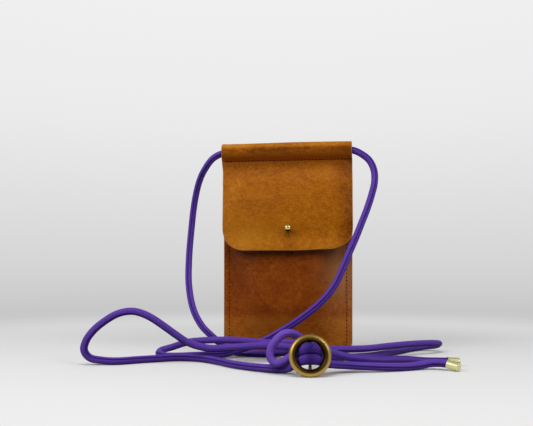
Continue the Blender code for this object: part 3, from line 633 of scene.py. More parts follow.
def leather_finish(name, browns, seed, roughness, painted_bands, painted_highlights):
    """Three sizes of noise and bands of painted light and shade mixed into one tone, a ramp through four
    browns, and grain as bump. A band is a list of axis, place where it starts, place where it is full,
    amount. A painted highlight is a soft patch round a place: its x and z, its two reaches, its strength
    and colour."""
    finish, tree, shader = new_finish(name, IOR=1.48, Specular_IOR_Level=0.12)
    place, shifted = shifted_places(tree, (seed, 0.37 * seed, 1.7 * seed))
    drawn = add(tree, "Mapping", Vector=shifted, Scale=WRINKLE_STRETCH)
    clouds = add(tree, "TexNoise", Vector=shifted, Scale=CLOUDS, Detail=3.0, Roughness=0.5, Distortion=0.4)
    mottle = add(tree, "TexNoise", Vector=drawn, Scale=MOTTLING, Detail=4.0, Roughness=0.66, Distortion=0.8)
    smudges = add(tree, "TexNoise", Vector=drawn, Scale=SMUDGES, Detail=3.0, Roughness=0.6, Distortion=1.5)
    grain = add(tree, "TexVoronoi", feature="SMOOTH_F1", Vector=shifted, Scale=PORES, Smoothness=0.5)
    tone = TONE_START
    for pattern, share in zip((clouds, mottle, smudges), TONE_SHARES):
        tone = add(tree, "Math", pattern, share, tone, operation="MULTIPLY_ADD")
    split = add(tree, "SeparateXYZ", place).node.outputs
    # Painted light and painted shade in bands.
    for axis, start, full, amount in painted_bands:
        painted_shading = add(tree, "MapRange", interpolation_type="SMOOTHSTEP", Value=split[axis],
                   From_Min=start, From_Max=full)
        tone = add(tree, "Math", painted_shading, amount, tone, operation="MULTIPLY_ADD")
    shade = add(tree, "ValToRGB", tone, stops=list(zip(BROWN_PLACES, browns)))
    # Painted highlights: soft lighter patches.
    for x, z, x_reach, z_reach, strength, highlight_colour in painted_highlights:
        squares = 0.0
        for axis, middle, reach in ((0, x, x_reach), (2, z, z_reach)):
            apart = add(tree, "Math", split[axis], middle, operation="SUBTRACT")
            apart = add(tree, "Math", apart, reach, operation="DIVIDE")
            squares = add(tree, "Math", apart, apart, squares, operation="MULTIPLY_ADD")
        falling = add(tree, "Math", squares, -1.0, operation="MULTIPLY")
        highlight_share = add(tree, "Math", falling, operation="EXPONENT")
        highlight_share = add(tree, "Math", highlight_share, strength, operation="MULTIPLY")
        highlighted = add(tree, "Mix", data_type="RGBA", Factor=highlight_share, _6=shade, _7=linear(highlight_colour))
        shade = highlighted.node.outputs[2]
    height = add(tree, "Math", grain, -0.5, mottle, operation="MULTIPLY_ADD")
    smoothest = roughness - GLOSS_SWING / 2
    feed(shader, Base_Color=shade,
         Roughness=add(tree, "Math", mottle, GLOSS_SWING, smoothest, operation="MULTIPLY_ADD"),
         Normal=add(tree, "Bump", Strength=0.6, Distance=0.0004, Height=height))
    return finish


# Tan bands, shared by back and flap: painted shade at the right edge, painted light low on the flap and
# towards its left edge, painted light on the loop's top, painted shade on its underside down to 176 mm, and
# darker from 172 mm up. Painted highlights: the flap's lower left, and a narrow band just above the loop's
# stitches that lifts the painted shade there.
tan_leather = leather_finish(
    "waxed_leather_tan", ("6C3400", "965200", "A66204", "C28226"), 3.0, 0.46,
    [(0, 0.0400, 0.0600, -0.20), (2, 0.1350, 0.1000, 0.05), (0, -0.0200, -0.0560, 0.05),
     (2, 0.1905, 0.1935, 0.24), (2, 0.1930, 0.1895, -0.14), (2, 0.1800, 0.1760, 0.14),
     (2, 0.1560, 0.1720, -0.10)],
    [(-0.0330, 0.1080, 0.0230, 0.0160, 0.30, "CC8A1C"), (0.0000, 0.1824, 0.3000, 0.0036, 0.70, "C56B12")])
# Brown bands: painted light towards the bottom, painted sheen towards the right, lighter at the left edge,
# and a painted shadow under the flap's edge, about 90 to 108 mm up. Painted highlights: a painted sheen on
# the pocket's right side and painted light low down, left of the middle.
brown_leather = leather_finish(
    "waxed_leather_brown", ("461700", "7F3903", "8E4407", "AC6620"), 11.0, 0.44,
    [(2, 0.0420, 0.0320, 0.30), (0, 0.0180, 0.0560, 0.10), (0, -0.0500, -0.0600, 0.12),
     (2, 0.0900, 0.0965, -0.18), (2, 0.0985, 0.1080, 0.18)],
    [(0.0500, 0.0800, 0.0150, 0.0320, 0.44, "C29060"), (-0.0180, 0.0295, 0.0300, 0.0085, 0.34, "C06A1E")])
print("leather finishes have", len(tan_leather.node_tree.nodes), len(brown_leather.node_tree.nodes), "nodes")

# %% [markdown]
# ## Flesh side, cut edge and thread
# The inner side is like suede: fine fibres, very rough, with a little sheen. The burnished cut edge
# shows fine layers and is smoother and lighter than the grain side. The seams are sewn with waxed
# brown thread, dull and twisted from thin plies. All three are one fine noise with its own numbers.

# %% Fibre finishes
# How many to a metre: flesh fibres 0.7 mm apart in 17 mm clouds, the edge's layers 1.4 mm, the thread's
# plies 0.7 mm. The real ones are finer, and are drawn as coarse as they need to show.
FLESH_FIBRES, FLESH_CLOUDS, EDGE_LAYERS, THREAD_PLIES = 1400.0, 60.0, 700.0, 1500.0


def fibre_finish(name, shift, colours, noise, bump, cloud_scale=None, **shader_values):
    """One noise gives both the tone, through a ramp of two colours, and the bump's height. Clouds, if
    there are any, are a slower noise mixed into the tone."""
    finish, tree, shader = new_finish(name, **shader_values)
    shifted = shifted_places(tree, shift)[1]
    fibres = tone = add(tree, "TexNoise", Vector=shifted, **noise)
    if cloud_scale:
        clouds = add(tree, "TexNoise", Vector=shifted, Scale=cloud_scale, Detail=3.0)
        faint = add(tree, "Math", clouds, 0.5, operation="MULTIPLY")
        tone = add(tree, "Math", fibres, 0.6, faint, operation="MULTIPLY_ADD")
    feed(shader, Base_Color=add(tree, "ValToRGB", tone, stops=colours),
         Normal=add(tree, "Bump", Strength=bump[0], Distance=bump[1], Height=fibres))
    return finish


def three_sides(grain, colour_name, seeds, flesh, edge):
    """The finishes of a sheet: grain, flesh side and cut edge."""
    dark, light = flesh
    fibres = {"Scale": FLESH_FIBRES, "Detail": 3.0, "Roughness": 0.7}
    flesh_side = fibre_finish("leather_flesh_" + colour_name, (seeds[0], seeds[0], 0.0),
                              [(0.2, dark), (0.9, light)], fibres, (0.5, 0.0003), FLESH_CLOUDS,
                              Roughness=0.92, Sheen_Weight=0.25, Sheen_Roughness=0.6)
    dark, light = edge
    cut_edge = fibre_finish("burnished_edge_" + colour_name, (seeds[1], 0.0, seeds[1]),
                            [(0.3, dark), (0.7, light)], {"Scale": EDGE_LAYERS, "Detail": 2.0},
                            (0.25, 0.0002), Roughness=0.46, Specular_IOR_Level=0.25)
    return [grain, flesh_side, cut_edge]


TAN_FINISHES = three_sides(tan_leather, "tan", (5.0, 7.0), ("8A5C30", "B98A58"), ("A8681C", "CC8E34"))
BROWN_FINISHES = three_sides(brown_leather, "brown", (13.0, 17.0), ("5C3418", "825A36"),
                             ("9A5A18", "BE8034"))
thread_finish = fibre_finish("waxed_thread_brown", (0.0, 0.0, 0.0), [(0.3, "3A1406"), (0.7, "5A240E")],
                             {"Scale": THREAD_PLIES, "Detail": 2.0}, (0.4, 0.0002),
                             Roughness=0.7, Specular_IOR_Level=0.1)
print("finishes", [finish.name for finish in TAN_FINISHES + BROWN_FINISHES + [thread_finish]])

# %% [markdown]
# ## The strip that is back, loop and flap
# One long strip of tan leather comes up the back, folds over the cord, is sewn down to the back and
# hangs on in front as the flap. Seen from the side it is a single line: straight up, half a circle, an
# S back to the stitches, and down over the pocket and the stud. The strip is that line drawn out
# sideways, so the leather only ever bends one way, as real leather wants to.

# %% Middle line of the strip
BAG_HEIGHT = 0.1970
BAG_WIDTH = 0.1194
BACK_Y = 0.01155
GAP = 0.0003
INNER_Y = BACK_Y - LEATHER
LOOP_RADIUS = CORD_RADIUS + GAP
CORD_DROP = 0.0084
STITCH_Z = 0.1810
HINGE_Z = 0.1772
MOUTH_Z = 0.1580
STUD_X, STUD_Z = 0.0014, 0.1166
FLAP_BOTTOM_Z = 0.0970
FLAP_WIDTH = 0.1196
TIP_OUT = 0.0030
POCKET_BULGE = 0.0090
MOUTH_BULGE = 0.0045
STUD_FOOT_HEIGHT = 0.0010
FLAP_IN = GAP + LEATHER + POCKET_BULGE + GAP + STUD_FOOT_HEIGHT + GAP
STRIP_STEP = 0.0015
CURVE_STEPS = 40
LEAVING_PULL, ARRIVING_PULL = 0.72, 0.30


def bezier(*points):
    """Cubic curve from the first point to the fourth that leaves towards the second and arrives from
    the third."""
    t = np.linspace(0.0, 1.0, CURVE_STEPS + 1)[:, None]
    p0, p1, p2, p3 = (np.array(point, float) for point in points)
    return (1 - t) ** 3 * p0 + 3 * (1 - t) ** 2 * t * p1 + 3 * (1 - t) * t * t * p2 + t ** 3 * p3


def strip_line():
    """Side view of the strip's middle, as y and z: the part up to the stitches and the part after them."""
    back_y = INNER_Y + LEATHER / 2
    front_y = INNER_Y - GAP - LEATHER / 2
    fold = LOOP_RADIUS + LEATHER / 2
    fold_y, fold_z = back_y - fold, BAG_HEIGHT - LEATHER / 2 - fold
    loop_y, cord_z = fold_y - fold, BAG_HEIGHT - CORD_DROP
    drop = cord_z - STITCH_Z
    angle = np.linspace(0.0, math.pi, CURVE_STEPS)
    half_circle = np.column_stack([fold_y + fold * np.cos(angle), fold_z + fold * np.sin(angle)])
    mouth = (front_y - LEATHER - MOUTH_BULGE, MOUTH_Z)
    stud = (INNER_Y - FLAP_IN - LEATHER / 2, STUD_Z)
    tip = (stud[0] - TIP_OUT, FLAP_BOTTOM_Z)
    top_third, low_third = (HINGE_Z - MOUTH_Z) / 3, (MOUTH_Z - STUD_Z) / 3
    tip_third = (STUD_Z - FLAP_BOTTOM_Z) / 3
    ease = ((mouth[0] - front_y) / (HINGE_Z - MOUTH_Z) + (stud[0] - mouth[0]) / (MOUTH_Z - STUD_Z)) / 2
    lean = (tip[0] - stud[0]) / (STUD_Z - FLAP_BOTTOM_Z)
    before = [
        np.array([(back_y, 0.0), (back_y, fold_z)]),
        half_circle,
        bezier((loop_y, cord_z), (loop_y, cord_z - LEAVING_PULL * drop),
               (front_y, STITCH_Z + ARRIVING_PULL * drop), (front_y, STITCH_Z)),
    ]
    after = [
        np.array([(front_y, STITCH_Z), (front_y, HINGE_Z)]),
        bezier((front_y, HINGE_Z), (front_y, HINGE_Z - top_third),
               (mouth[0] - ease * top_third, MOUTH_Z + top_third), mouth),
        bezier(mouth, (mouth[0] + ease * low_third, MOUTH_Z - low_third),
               (stud[0], STUD_Z + low_third), stud),
        bezier(stud, (stud[0], STUD_Z - tip_third),
               (tip[0] - lean * tip_third, FLAP_BOTTOM_Z + tip_third), tip),
    ]
    return np.vstack(before), np.vstack(after)


back_line, flap_line = (even_steps(line, STRIP_STEP)[0] for line in strip_line())
print("strip %d + %d steps" % (len(back_line), len(flap_line)))

# %% [markdown]
# ## Cutting the outline
# The bottom corners are rounded. Instead of cutting a hole in a square grid, each row is made as wide
# as the outline is at its height: half the width, less what the corner's circle takes away. Rows and
# columns are packed closer near the rim, where the stitches pull the leather in.

# %% Outline helpers
CORNER_RADIUS = 0.0140
FLAP_CORNERS = (0.0205, 0.0192)
EDGE_COLUMN, MIDDLE_COLUMN, EDGE_WIDTH = 0.0005, 0.0022, 0.0070
SEAM_INSET = 0.0053
SEAM_DIP, SEAM_DIP_WIDTH = 0.00022, 0.0008
SEAM_FADE, SEWN_FLAT = 0.004, 0.02


def half_width(height, half, radius):
    """Half the outline's width at a height above its bottom: a quarter circle, then straight."""
    low = np.clip(radius - height, 0.0, radius)
    return half - radius + np.sqrt(np.maximum(radius ** 2 - low ** 2, 0.0))


def inner_width(z):
    """Half the width of a panel's grid, one edge rounding inside its cut edge, corners too."""
    return half_width(z - EDGE_ROUND, BAG_WIDTH / 2 - EDGE_ROUND, CORNER_RADIUS - EDGE_ROUND)


def spread():
    """Places from -1 to 1 across half a bag's width, close together near both edges."""
    half = BAG_WIDTH / 2
    edge = np.arange(0.0, EDGE_WIDTH, EDGE_COLUMN)
    middle = np.linspace(EDGE_WIDTH, half, int((half - EDGE_WIDTH) / MIDDLE_COLUMN) + 1)
    right = 1.0 - np.concatenate([edge, middle]) / half
    return np.concatenate([-right, right[-2::-1]])


def corner_rows(radius, steps):
    """Heights up a corner that are close together at the bottom: radius times one minus a cosine."""
    return radius * (1.0 - np.cos(np.linspace(0.0, math.pi / 2, steps + 1)))


def seam_dip(distance):
    """How deep a row of stitches pulls the leather in, at a distance from the row."""
    return SEAM_DIP * bell(distance, SEAM_DIP_WIDTH)


def slow_swell(x, up, height, waves, shifts):
    """Leather is never flat: height times a sine across times a sine along."""
    return height * np.sin(x / waves[0] + shifts[0]) * np.sin(up / waves[1] + shifts[1])


def raised(line, x, out):
    """A grid with one row across the bag at each point of a side view, raised out of it by a height."""
    slope = unit(np.gradient(line, axis=0))
    return np.stack([x, line[:, :1] + slope[:, 1:] * out, line[:, 1:] - slope[:, :1] * out], axis=2)


def skewed(x, along, stops, left, right):
    """How far a hand-cut strip's sides stray from straight at each distance along it: more to the left
    edge, to the right, or neither in the middle, each share growing with the distance from the middle."""
    share = np.clip(np.abs(x) / (BAG_WIDTH / 2), 0.0, 1.0)
    left, right = (np.interp(along, stops, strays)[:, None] for strays in (left, right))
    return share * np.where(x < 0, -left, right)


columns = spread()
print("columns", len(columns))

# %% [markdown]
# ## Back and loop
# The back's rows go up to the fold, over the cord and down to the stitches. The strip was cut by hand,
# so near the loop its sides stray from straight by a millimetre or two.

# %% Back and loop
LOOP_SEWN = (0.0, 0.0080, 0.0200, 0.0450)
LOOP_LEFT = (0.0020, 0.0014, 0.0012, 0.0)
LOOP_RIGHT = (-0.0002, -0.0008, -0.0008, 0.0)
BACK_CORNER_ROWS = 10
BACK_SWELL = (0.00025, (0.0170, 0.031), (1.0, 0.6))
WIDENING = (0.180, 0.200)


def back_grid():
    """Rows up the back, over the fold and down to the stitches; columns across. The grain side."""
    low = EDGE_ROUND + corner_rows(CORNER_RADIUS - EDGE_ROUND, BACK_CORNER_ROWS)
    first = np.argmax(back_line[:, 1] > CORNER_RADIUS + STRIP_STEP / 2)
    line = np.vstack([np.column_stack([np.full(len(low), back_line[0, 0]), low]), back_line[first:]])
    length = EDGE_ROUND + distances(line)
    wider = (FLAP_WIDTH - BAG_WIDTH) / 2 * eased(length, *WIDENING)
    half = half_width(length, BAG_WIDTH / 2, CORNER_RADIUS) + wider
    sew = length[-1] - length
    x = columns[None, :] * (inner_width(length) + wider)[:, None]
    x = x + skewed(x, sew, LOOP_SEWN, LOOP_LEFT, LOOP_RIGHT)
    up, sew = length[:, None], sew[:, None]
    rim = np.minimum(half[:, None] - np.abs(x), up) - SEAM_INSET
    dip = seam_dip(rim) * eased(up, MOUTH_Z, MOUTH_Z - SEAM_FADE) + seam_dip(sew)
    swell = slow_swell(x, up, *BACK_SWELL) * eased(sew, 0.0, SEWN_FLAT)
    return raised(line, x, LEATHER / 2 - dip + swell)


back_piece = leather_sheet("leather_back", back_grid(), TAN_FINISHES)

# %% [markdown]
# ## The flap
# The flap goes on from the stitches as the same leather. It hangs free, so its sides fall back a touch
# and its lower edge curls out slightly, a little higher at the right. Round the ball the leather stands
# up in a low ring, where it is pressed over it each time.

# %% Flap
FLAP_DOWN = (0.0, 0.0120, 0.0280, 0.0560)
FLAP_LEFT = (0.0020, 0.0006, -0.0002, -0.0007)
FLAP_RIGHT = (0.0, 0.0, 0.0, 0.0)
FLAP_CORNER_ROWS = 14
FALL_LEFT, FALL_RIGHT, FALL_POWER, FALL_DOWN = 0.0009, 0.0016, 2.6, (0.012, 0.042)
FLAP_SWELL = (0.00035, (0.0190, 0.017), (0.4, 0.0))
CURL, CURL_REACH = 0.0005, 0.010
SIDE_BACK, SIDE_ACROSS = 0.0011, (0.0500, 0.0600)
RIGHT_LIFT, LIFT_ACROSS, LIFT_DOWN = 0.0015, (0.005, 0.050), (0.060, 0.085)
HOLE_RIM_HEIGHT, HOLE_RIM_RADIUS, HOLE_RIM_WIDTH = 0.00025, 0.0046, 0.0016


def flap_grid():
    """Rows from the stitches down to the tip, narrowing round the lower corners; grain side out."""
    length = distances(flap_line)
    total = length[-1]
    top = total - FLAP_CORNERS[0]
    dense = total - corner_rows(FLAP_CORNERS[0], FLAP_CORNER_ROWS)[::-1]
    along = np.concatenate([np.linspace(0.0, top, int(top / STRIP_STEP) + 1)[:-1], dense])
    line = places_at(flap_line, length, along)
    left_half, right_half = (half_width(total - along, FLAP_WIDTH / 2, radius) for radius in FLAP_CORNERS)
    half = np.where(columns[None, :] < 0, left_half[:, None], right_half[:, None])
    x = columns[None, :] * (half - EDGE_ROUND)
    x = x + skewed(x, along, FLAP_DOWN, FLAP_LEFT, FLAP_RIGHT)
    down = along[:, None]
    fall_back = np.where(x < 0, FALL_LEFT, FALL_RIGHT) * (np.abs(x) / (FLAP_WIDTH / 2)) ** FALL_POWER
    fall_back = fall_back * eased(down, *FALL_DOWN)
    swell = slow_swell(x, down, *FLAP_SWELL) * eased(down, 0.0, SEWN_FLAT)
    curl = CURL * eased(down, total - CURL_REACH, total) - SIDE_BACK * eased(x, *SIDE_ACROSS)
    near_stud = np.hypot(x - STUD_X, down - along[np.argmin(np.abs(line[:, 1] - STUD_Z))])
    rim = HOLE_RIM_HEIGHT * bell(near_stud - HOLE_RIM_RADIUS, HOLE_RIM_WIDTH)
    grid = raised(line, x, LEATHER / 2 - seam_dip(down) + swell + curl + rim - fall_back)
    grid[..., 2] += RIGHT_LIFT * eased(x, *LIFT_ACROSS) * eased(down, *LIFT_DOWN)
    return grid


flap_piece = leather_sheet("leather_flap", flap_grid(), TAN_FINISHES)

# %% [markdown]
# ## Hole and slit in the flap
# A punched hole lets the ball through, and a short knife cut below it opens while the flap is pushed
# on. The outline of both is a thin solid that a Boolean takes out of the sheet, and the walls that it
# leaves get the cut-edge finish.

# %% Hole and slit
STUD_HOLE = 0.0048
SLIT_WIDTH, SLIT_LENGTH = 0.0008, 0.0078
ARC_STEPS, SLIT_END_STEPS = 40, 7
CUT_DEPTHS = (-0.0200, 0.0050)
EDGE_SLOT = 2


def keyhole():
    """Outline of hole and slit in x and z: an arc that leaves room for the slit, and the slit's end."""
    radius, half = STUD_HOLE / 2, SLIT_WIDTH / 2
    start = math.asin(half / radius)
    angle = -math.pi / 2 + np.linspace(start, math.tau - start, ARC_STEPS)
    end = -math.pi + np.linspace(0.0, math.pi, SLIT_END_STEPS)
    arc = np.column_stack([radius * np.cos(angle), radius * np.sin(angle)])
    return np.vstack([arc, np.column_stack([half * np.cos(end), half - SLIT_LENGTH + half * np.sin(end)])])


outline = keyhole() + (STUD_X, STUD_Z)
cutter_grid = np.array([[(x, depth, z) for x, z in outline] for depth in CUT_DEPTHS])
cutter_poles = [(STUD_X, depth, STUD_Z) for depth in CUT_DEPTHS]
cutter = tube_piece("keyhole_cutter", cutter_grid, TAN_FINISHES, cutter_poles)
walls = cutter.data.polygons
walls.foreach_set("material_index", np.full(len(walls), EDGE_SLOT, np.int32))
cut = flap_piece.modifiers.new("Keyhole", "BOOLEAN")
cut.object = cutter
cut.solver = "EXACT"
bpy.context.view_layer.update()
finished = bpy.data.meshes.new_from_object(flap_piece.evaluated_get(bpy.context.evaluated_depsgraph_get()))
flap_piece.modifiers.clear()
finished.set_sharp_from_angle(angle=SHARP_ANGLE)
flap_piece.data = finished
bpy.data.objects.remove(cutter, do_unlink=True)
print("flap faces", len(finished.polygons))

# %% [markdown]
# ## The pocket
# The front panel is sewn flat round its sides and bottom and swells over what the bag holds. Its depth
# rises smoothly from the seams to a 9 mm crown and falls again towards the mouth under the flap.

# %% Pocket
SEAM_MARGIN = 0.0080
SIDE_RISE = 0.0260
BOTTOM_RISE = 0.0420
FALL_START = 0.1216
POCKET_SWELL = (0.0004, (0.0140, 0.0190), (2.0, 0.7))
POCKET_CORNER_ROWS, POCKET_ROWS = 12, 76


def pocket_face(x, z):
    """Where the pocket's grain side is, as y. Its depth is the crown's height times one smooth step in
    from the side seam and one from the bottom seam; the seams are dipped and a few slow swells added."""
    rim = np.minimum(half_width(z, BAG_WIDTH / 2, CORNER_RADIUS) - np.abs(x), z) - SEAM_INSET
    crown = POCKET_BULGE - (POCKET_BULGE - MOUTH_BULGE) * eased(z, FALL_START, MOUTH_Z)
    from_side = BAG_WIDTH / 2 - np.abs(x)
    depth = crown * eased(from_side, SEAM_MARGIN, SEAM_MARGIN + SIDE_RISE)
    depth = depth * eased(z, SEAM_MARGIN, SEAM_MARGIN + BOTTOM_RISE)
    swell = slow_swell(x, z, *POCKET_SWELL) * depth / POCKET_BULGE
    return INNER_Y - GAP - LEATHER - depth + seam_dip(rim) - swell


def pocket_grid():
    """Rows from the mouth down to the rounded bottom; columns across; grain side out."""
    low = EDGE_ROUND + corner_rows(CORNER_RADIUS - EDGE_ROUND, POCKET_CORNER_ROWS)
    z = np.concatenate([low, np.linspace(CORNER_RADIUS, MOUTH_Z, POCKET_ROWS)[1:]])[::-1]
    x = columns[None, :] * inner_width(z)[:, None]
    heights = np.broadcast_to(z[:, None], x.shape)
    return np.stack([x, pocket_face(x, heights), heights], axis=2)


pocket_piece = leather_sheet("leather_pocket", pocket_grid(), BROWN_FINISHES)

# %% [markdown]
# ## Stitches
# Waxed brown thread is sewn through with a saddle stitch, 3.3 mm from hole to hole. Each stitch is a
# short capsule that dips into its two holes. The shape is worked out once and then copied to every
# place along the seams by multiplying arrays, so hundreds of stitches are one light mesh.

# %% Seams
STITCH_SPACING = 0.0033
LONG_STITCH, SHORT_STITCH = 0.0025, 0.0017
THREAD_RADIUS = 0.00042
STITCH_RINGS, STITCH_SIDES = 5, 8
MIDDLE_LIFT, END_FALL, TIP_DIP = 0.9, 1.3, 0.4
SEAM_TOP_GAP = 0.0030
LOOP_SEAM_INSET = 0.0024
CORNER_STEPS = 30
LOOK_AHEAD = 0.0005


def stitch_row(name, places, ahead, facing, stitch):
    """Capsules: a circle carried along a short arc that is highest in the middle, with pointed ends.
    Facing is -1 for the bag's front and 1 for its back."""
    u = np.linspace(-1.0, 1.0, STITCH_RINGS + 2)[1:-1, None]
    v = np.arange(STITCH_SIDES) / STITCH_SIDES * math.tau
    size = THREAD_RADIUS * np.sqrt(np.maximum(1.0 - u ** 4, 0.0))
    lift = THREAD_RADIUS * (MIDDLE_LIFT - END_FALL * u ** 2)
    local = np.stack(np.broadcast_arrays(u * stitch / 2, size * np.cos(v), lift + size * np.sin(v)), axis=-1)
    tips = [(end * stitch / 2, 0.0, -TIP_DIP * THREAD_RADIUS) for end in (-1, 1)]
    shape = np.vstack([local.reshape(-1, 3), tips])
    ahead = unit(np.broadcast_to(ahead, places.shape))
    out = np.array((0.0, facing, 0.0))
    out = unit(out - ahead * (ahead @ out)[:, None])
    axes = np.stack([ahead, np.cross(out, ahead), out], axis=1)
    points = (shape[None] @ axes + places[:, None, :]).reshape(-1, 3)
    one = tube_faces(STITCH_RINGS, STITCH_SIDES)
    faces = [[corner + k * len(shape) for corner in face] for k in range(len(places)) for face in one]
    print(name, len(places), "stitches")
    return build_mesh(name, points, faces, [thread_finish])


def rim_seam():
    """Stitch places round the pocket, as x and z: down the left side, round the bottom and up."""
    radius, side_x = CORNER_RADIUS - SEAM_INSET, BAG_WIDTH / 2 - SEAM_INSET
    angle = np.linspace(math.pi, 1.5 * math.pi, CORNER_STEPS)
    corner = radius * np.column_stack([np.cos(angle), np.sin(angle)]) + (radius - side_x, radius + SEAM_INSET)
    left = np.vstack([[(-side_x, MOUTH_Z - SEAM_TOP_GAP)], corner])
    line = np.vstack([left, left[::-1] * (-1.0, 1.0)])
    length = distances(line)
    centres = np.arange(STITCH_SPACING / 2, length[-1], STITCH_SPACING)
    here = places_at(line, length, centres)
    return here, places_at(line, length, centres + LOOK_AHEAD) - here


def at_depth(xz, y):
    """Places in x and z put at a depth y."""
    return np.column_stack([xz[:, 0], np.broadcast_to(y, len(xz)), xz[:, 1]])


rim, rim_ahead = rim_seam()
rim_ahead = at_depth(rim_ahead, 0.0)
loop_half = FLAP_WIDTH / 2 - LOOP_SEAM_INSET
loop_x = np.arange(-loop_half + STITCH_SPACING / 2, loop_half, STITCH_SPACING)
loop_x = np.concatenate([loop_x[:2] - STITCH_SPACING / 2, loop_x, loop_x[-2:] + STITCH_SPACING / 2])
sewn = np.column_stack([loop_x, np.full(len(loop_x), STITCH_Z)])
sideways = (1.0, 0.0, 0.0)
seams = [stitch_row(*seam) for seam in (
    ("pocket_seam_front", at_depth(rim, pocket_face(*rim.T)), rim_ahead, -1.0, SHORT_STITCH),
    ("pocket_seam_back", at_depth(rim, BACK_Y - SEAM_DIP), rim_ahead, 1.0, SHORT_STITCH),
    ("loop_seam_front", at_depth(sewn, INNER_Y - GAP - LEATHER + SEAM_DIP), sideways, -1.0, LONG_STITCH),
    ("loop_seam_back", at_depth(sewn, BACK_Y), sideways, 1.0, LONG_STITCH),
)]

# %% [markdown]
# ## Brass
# Stud, ring and caps are brass: turned or cast, polished and then lacquered. Polished metal shows
# mostly what stands round it, so its colour is only a warm tint, and very fine handling marks make
# its roughness a little uneven. They are far finer than a millimetre and are drawn 1.1 mm apart.
# The inward half of the ring's wire and its bar are painted dark brown: painted shade inside the ring
# and a painted reflection of the dark cords that fill it.
# A metal keeps the default IOR.

# %% Brass finish
PAINTED_SHADE_PLACES = (0.45, 1.0)
MARKS_PER_METRE, POLISH_SWING = 900.0, 0.14


def brass_finish(name, colour, roughness, seed, painted_shade=()):
    """Full metal with a warm tint, roughness that wanders a little, and fine polishing marks as bump.
    Painted shade colours take over where the piece's own attribute of that name goes to one."""
    finish, tree, shader = new_finish(name, Metallic=1.0, Base_Color=linear(colour))
    if painted_shade:
        depth = add(tree, "Attribute", attribute_name="painted_shade").node.outputs["Fac"]
        stops = [(0.0, colour)] + list(zip(PAINTED_SHADE_PLACES, painted_shade))
        feed(shader, Base_Color=add(tree, "ValToRGB", depth, stops=stops))
    shifted = shifted_places(tree, (seed, 0.0, 0.0))[1]
    marks = add(tree, "TexNoise", Vector=shifted, Scale=MARKS_PER_METRE, Detail=3.0, Roughness=0.6)
    smoothest = roughness - POLISH_SWING / 2
    feed(shader, Roughness=add(tree, "Math", marks, POLISH_SWING, smoothest, operation="MULTIPLY_ADD"),
         Normal=add(tree, "Bump", Strength=0.08, Distance=0.0001, Height=marks))
    return finish


ring_brass = brass_finish("cast_brass_lacquered", "BC9C54", 0.42, 2.0, ("6C4E20", "3C2A0E"))
stud_brass = brass_finish("turned_brass_polished", "E2C67A", 0.20, 4.0, ("5A3C14", "2E1C08"))
cap_brass = brass_finish("turned_brass_pale", "E6E2AC", 0.50, 6.0)
print("brass", ring_brass.name, stud_brass.name, cap_brass.name)

# %% [markdown]
# ## Ring slider
# The ring is a round wire bent into a circle, and a thin bar stands up across it. The bar swells
# towards both ends, where it was cast into the ring.

# %% Ring slider
RING_STEPS, WIRE_SIDES = 128, 40
BAR_STEPS, BAR_SIDES = 48, 24
RING_BAR, RING_BAR_SET_BACK = 0.0019, 0.0011
BAR_THICK, BAR_SWELL, SWELL_START, SWELL_POWER = 1.15, 0.9, 0.55, 1.5
# Painted shade: the inward half of the wire and the whole bar are painted dark.
RING_PAINTED_SHADE, BAR_PAINTED_SHADE = (-0.35, 0.55), 0.6


def turn_of(steps):
    """Angles once round, in even steps."""
    return np.arange(steps) / steps * math.tau


def on_ring(*local):
    """A grid given as x, y and z on the ring's own axes."""
    return moved(np.stack(np.broadcast_arrays(*local), axis=2), RING_AXES)


# A circle of wire carried round a circle: radius R plus r cos b outward, r sin b front to back.
a, b = turn_of(RING_STEPS)[:, None], turn_of(WIRE_SIDES)[None, :]
radius = RING_RADIUS + RING_WIRE / 2 * np.cos(b)
grid = on_ring(radius * np.cos(a), RING_WIRE / 2 * np.sin(b), radius * np.sin(a))
ring_faces = grid_faces(RING_STEPS, WIRE_SIDES, close_rows=True, close_columns=True).tolist()
ring_piece = build_mesh("ring", grid.reshape(-1, 3), ring_faces, [ring_brass])
# Painted shade on the inward half of the wire.
kept(ring_piece, "painted_shade", np.tile(eased(-np.cos(b), *RING_PAINTED_SHADE), RING_STEPS))

t, b = np.linspace(-1.0, 1.0, BAR_STEPS)[:, None], turn_of(BAR_SIDES)[None, :]
swell = np.clip((np.abs(t) - SWELL_START) / (1.0 - SWELL_START), 0.0, 1.0) ** SWELL_POWER
radius = RING_BAR / 2 * (BAR_THICK + BAR_SWELL * swell)
grid = on_ring(radius * np.cos(b), RING_BAR_SET_BACK + radius * np.sin(b), RING_RADIUS * t)
bar_piece = tube_piece("ring_bar", grid, [ring_brass], (grid[0].mean(axis=0), grid[-1].mean(axis=0)))
# Painted shade over the whole bar.
kept(bar_piece, "painted_shade", BAR_PAINTED_SHADE)
print("ring %.2f cm3" % (signed_volume(ring_piece.data) * 1e6))

# %% [markdown]
# ## Turned parts
# The stud and the two end caps come off a lathe, so each is a profile of radius and height spun round
# an axis. Corners that a lathe tool breaks are short arcs in the profile.

# %% Lathe
LATHE_STEPS = 64


def spun(name, profile, matrix, finish):
    """Radius times cosine and sine of the turn, height along the axis; both ends close in a pole."""
    radius, height = np.array(profile, float).T[:, :, None]
    turn = turn_of(LATHE_STEPS)
    local = np.stack(np.broadcast_arrays(radius * np.cos(turn), radius * np.sin(turn), height), axis=2)
    poles = [(0.0, 0.0, height[0, 0]), (0.0, 0.0, height[-1, 0])]
    return tube_piece(name, moved(local, matrix), [finish], moved(poles, matrix))


def rounded(corner, before, after, radius, steps=6):
    """A quarter-like arc in a profile where it turns a corner, between the two edges that meet there."""
    corner, before, after = (np.array(p, float) for p in (corner, before, after))
    start, end = corner + unit(before - corner) * radius, corner + unit(after - corner) * radius
    t = np.linspace(0.0, 1.0, steps + 1)[:, None]
    return ((1 - t) ** 2 * start + 2 * t * (1 - t) * corner + t * t * end).tolist()


print("a broken corner has", len(rounded((1.0, 0.0), (0.0, 0.0), (1.0, 1.0), 0.2)), "points")
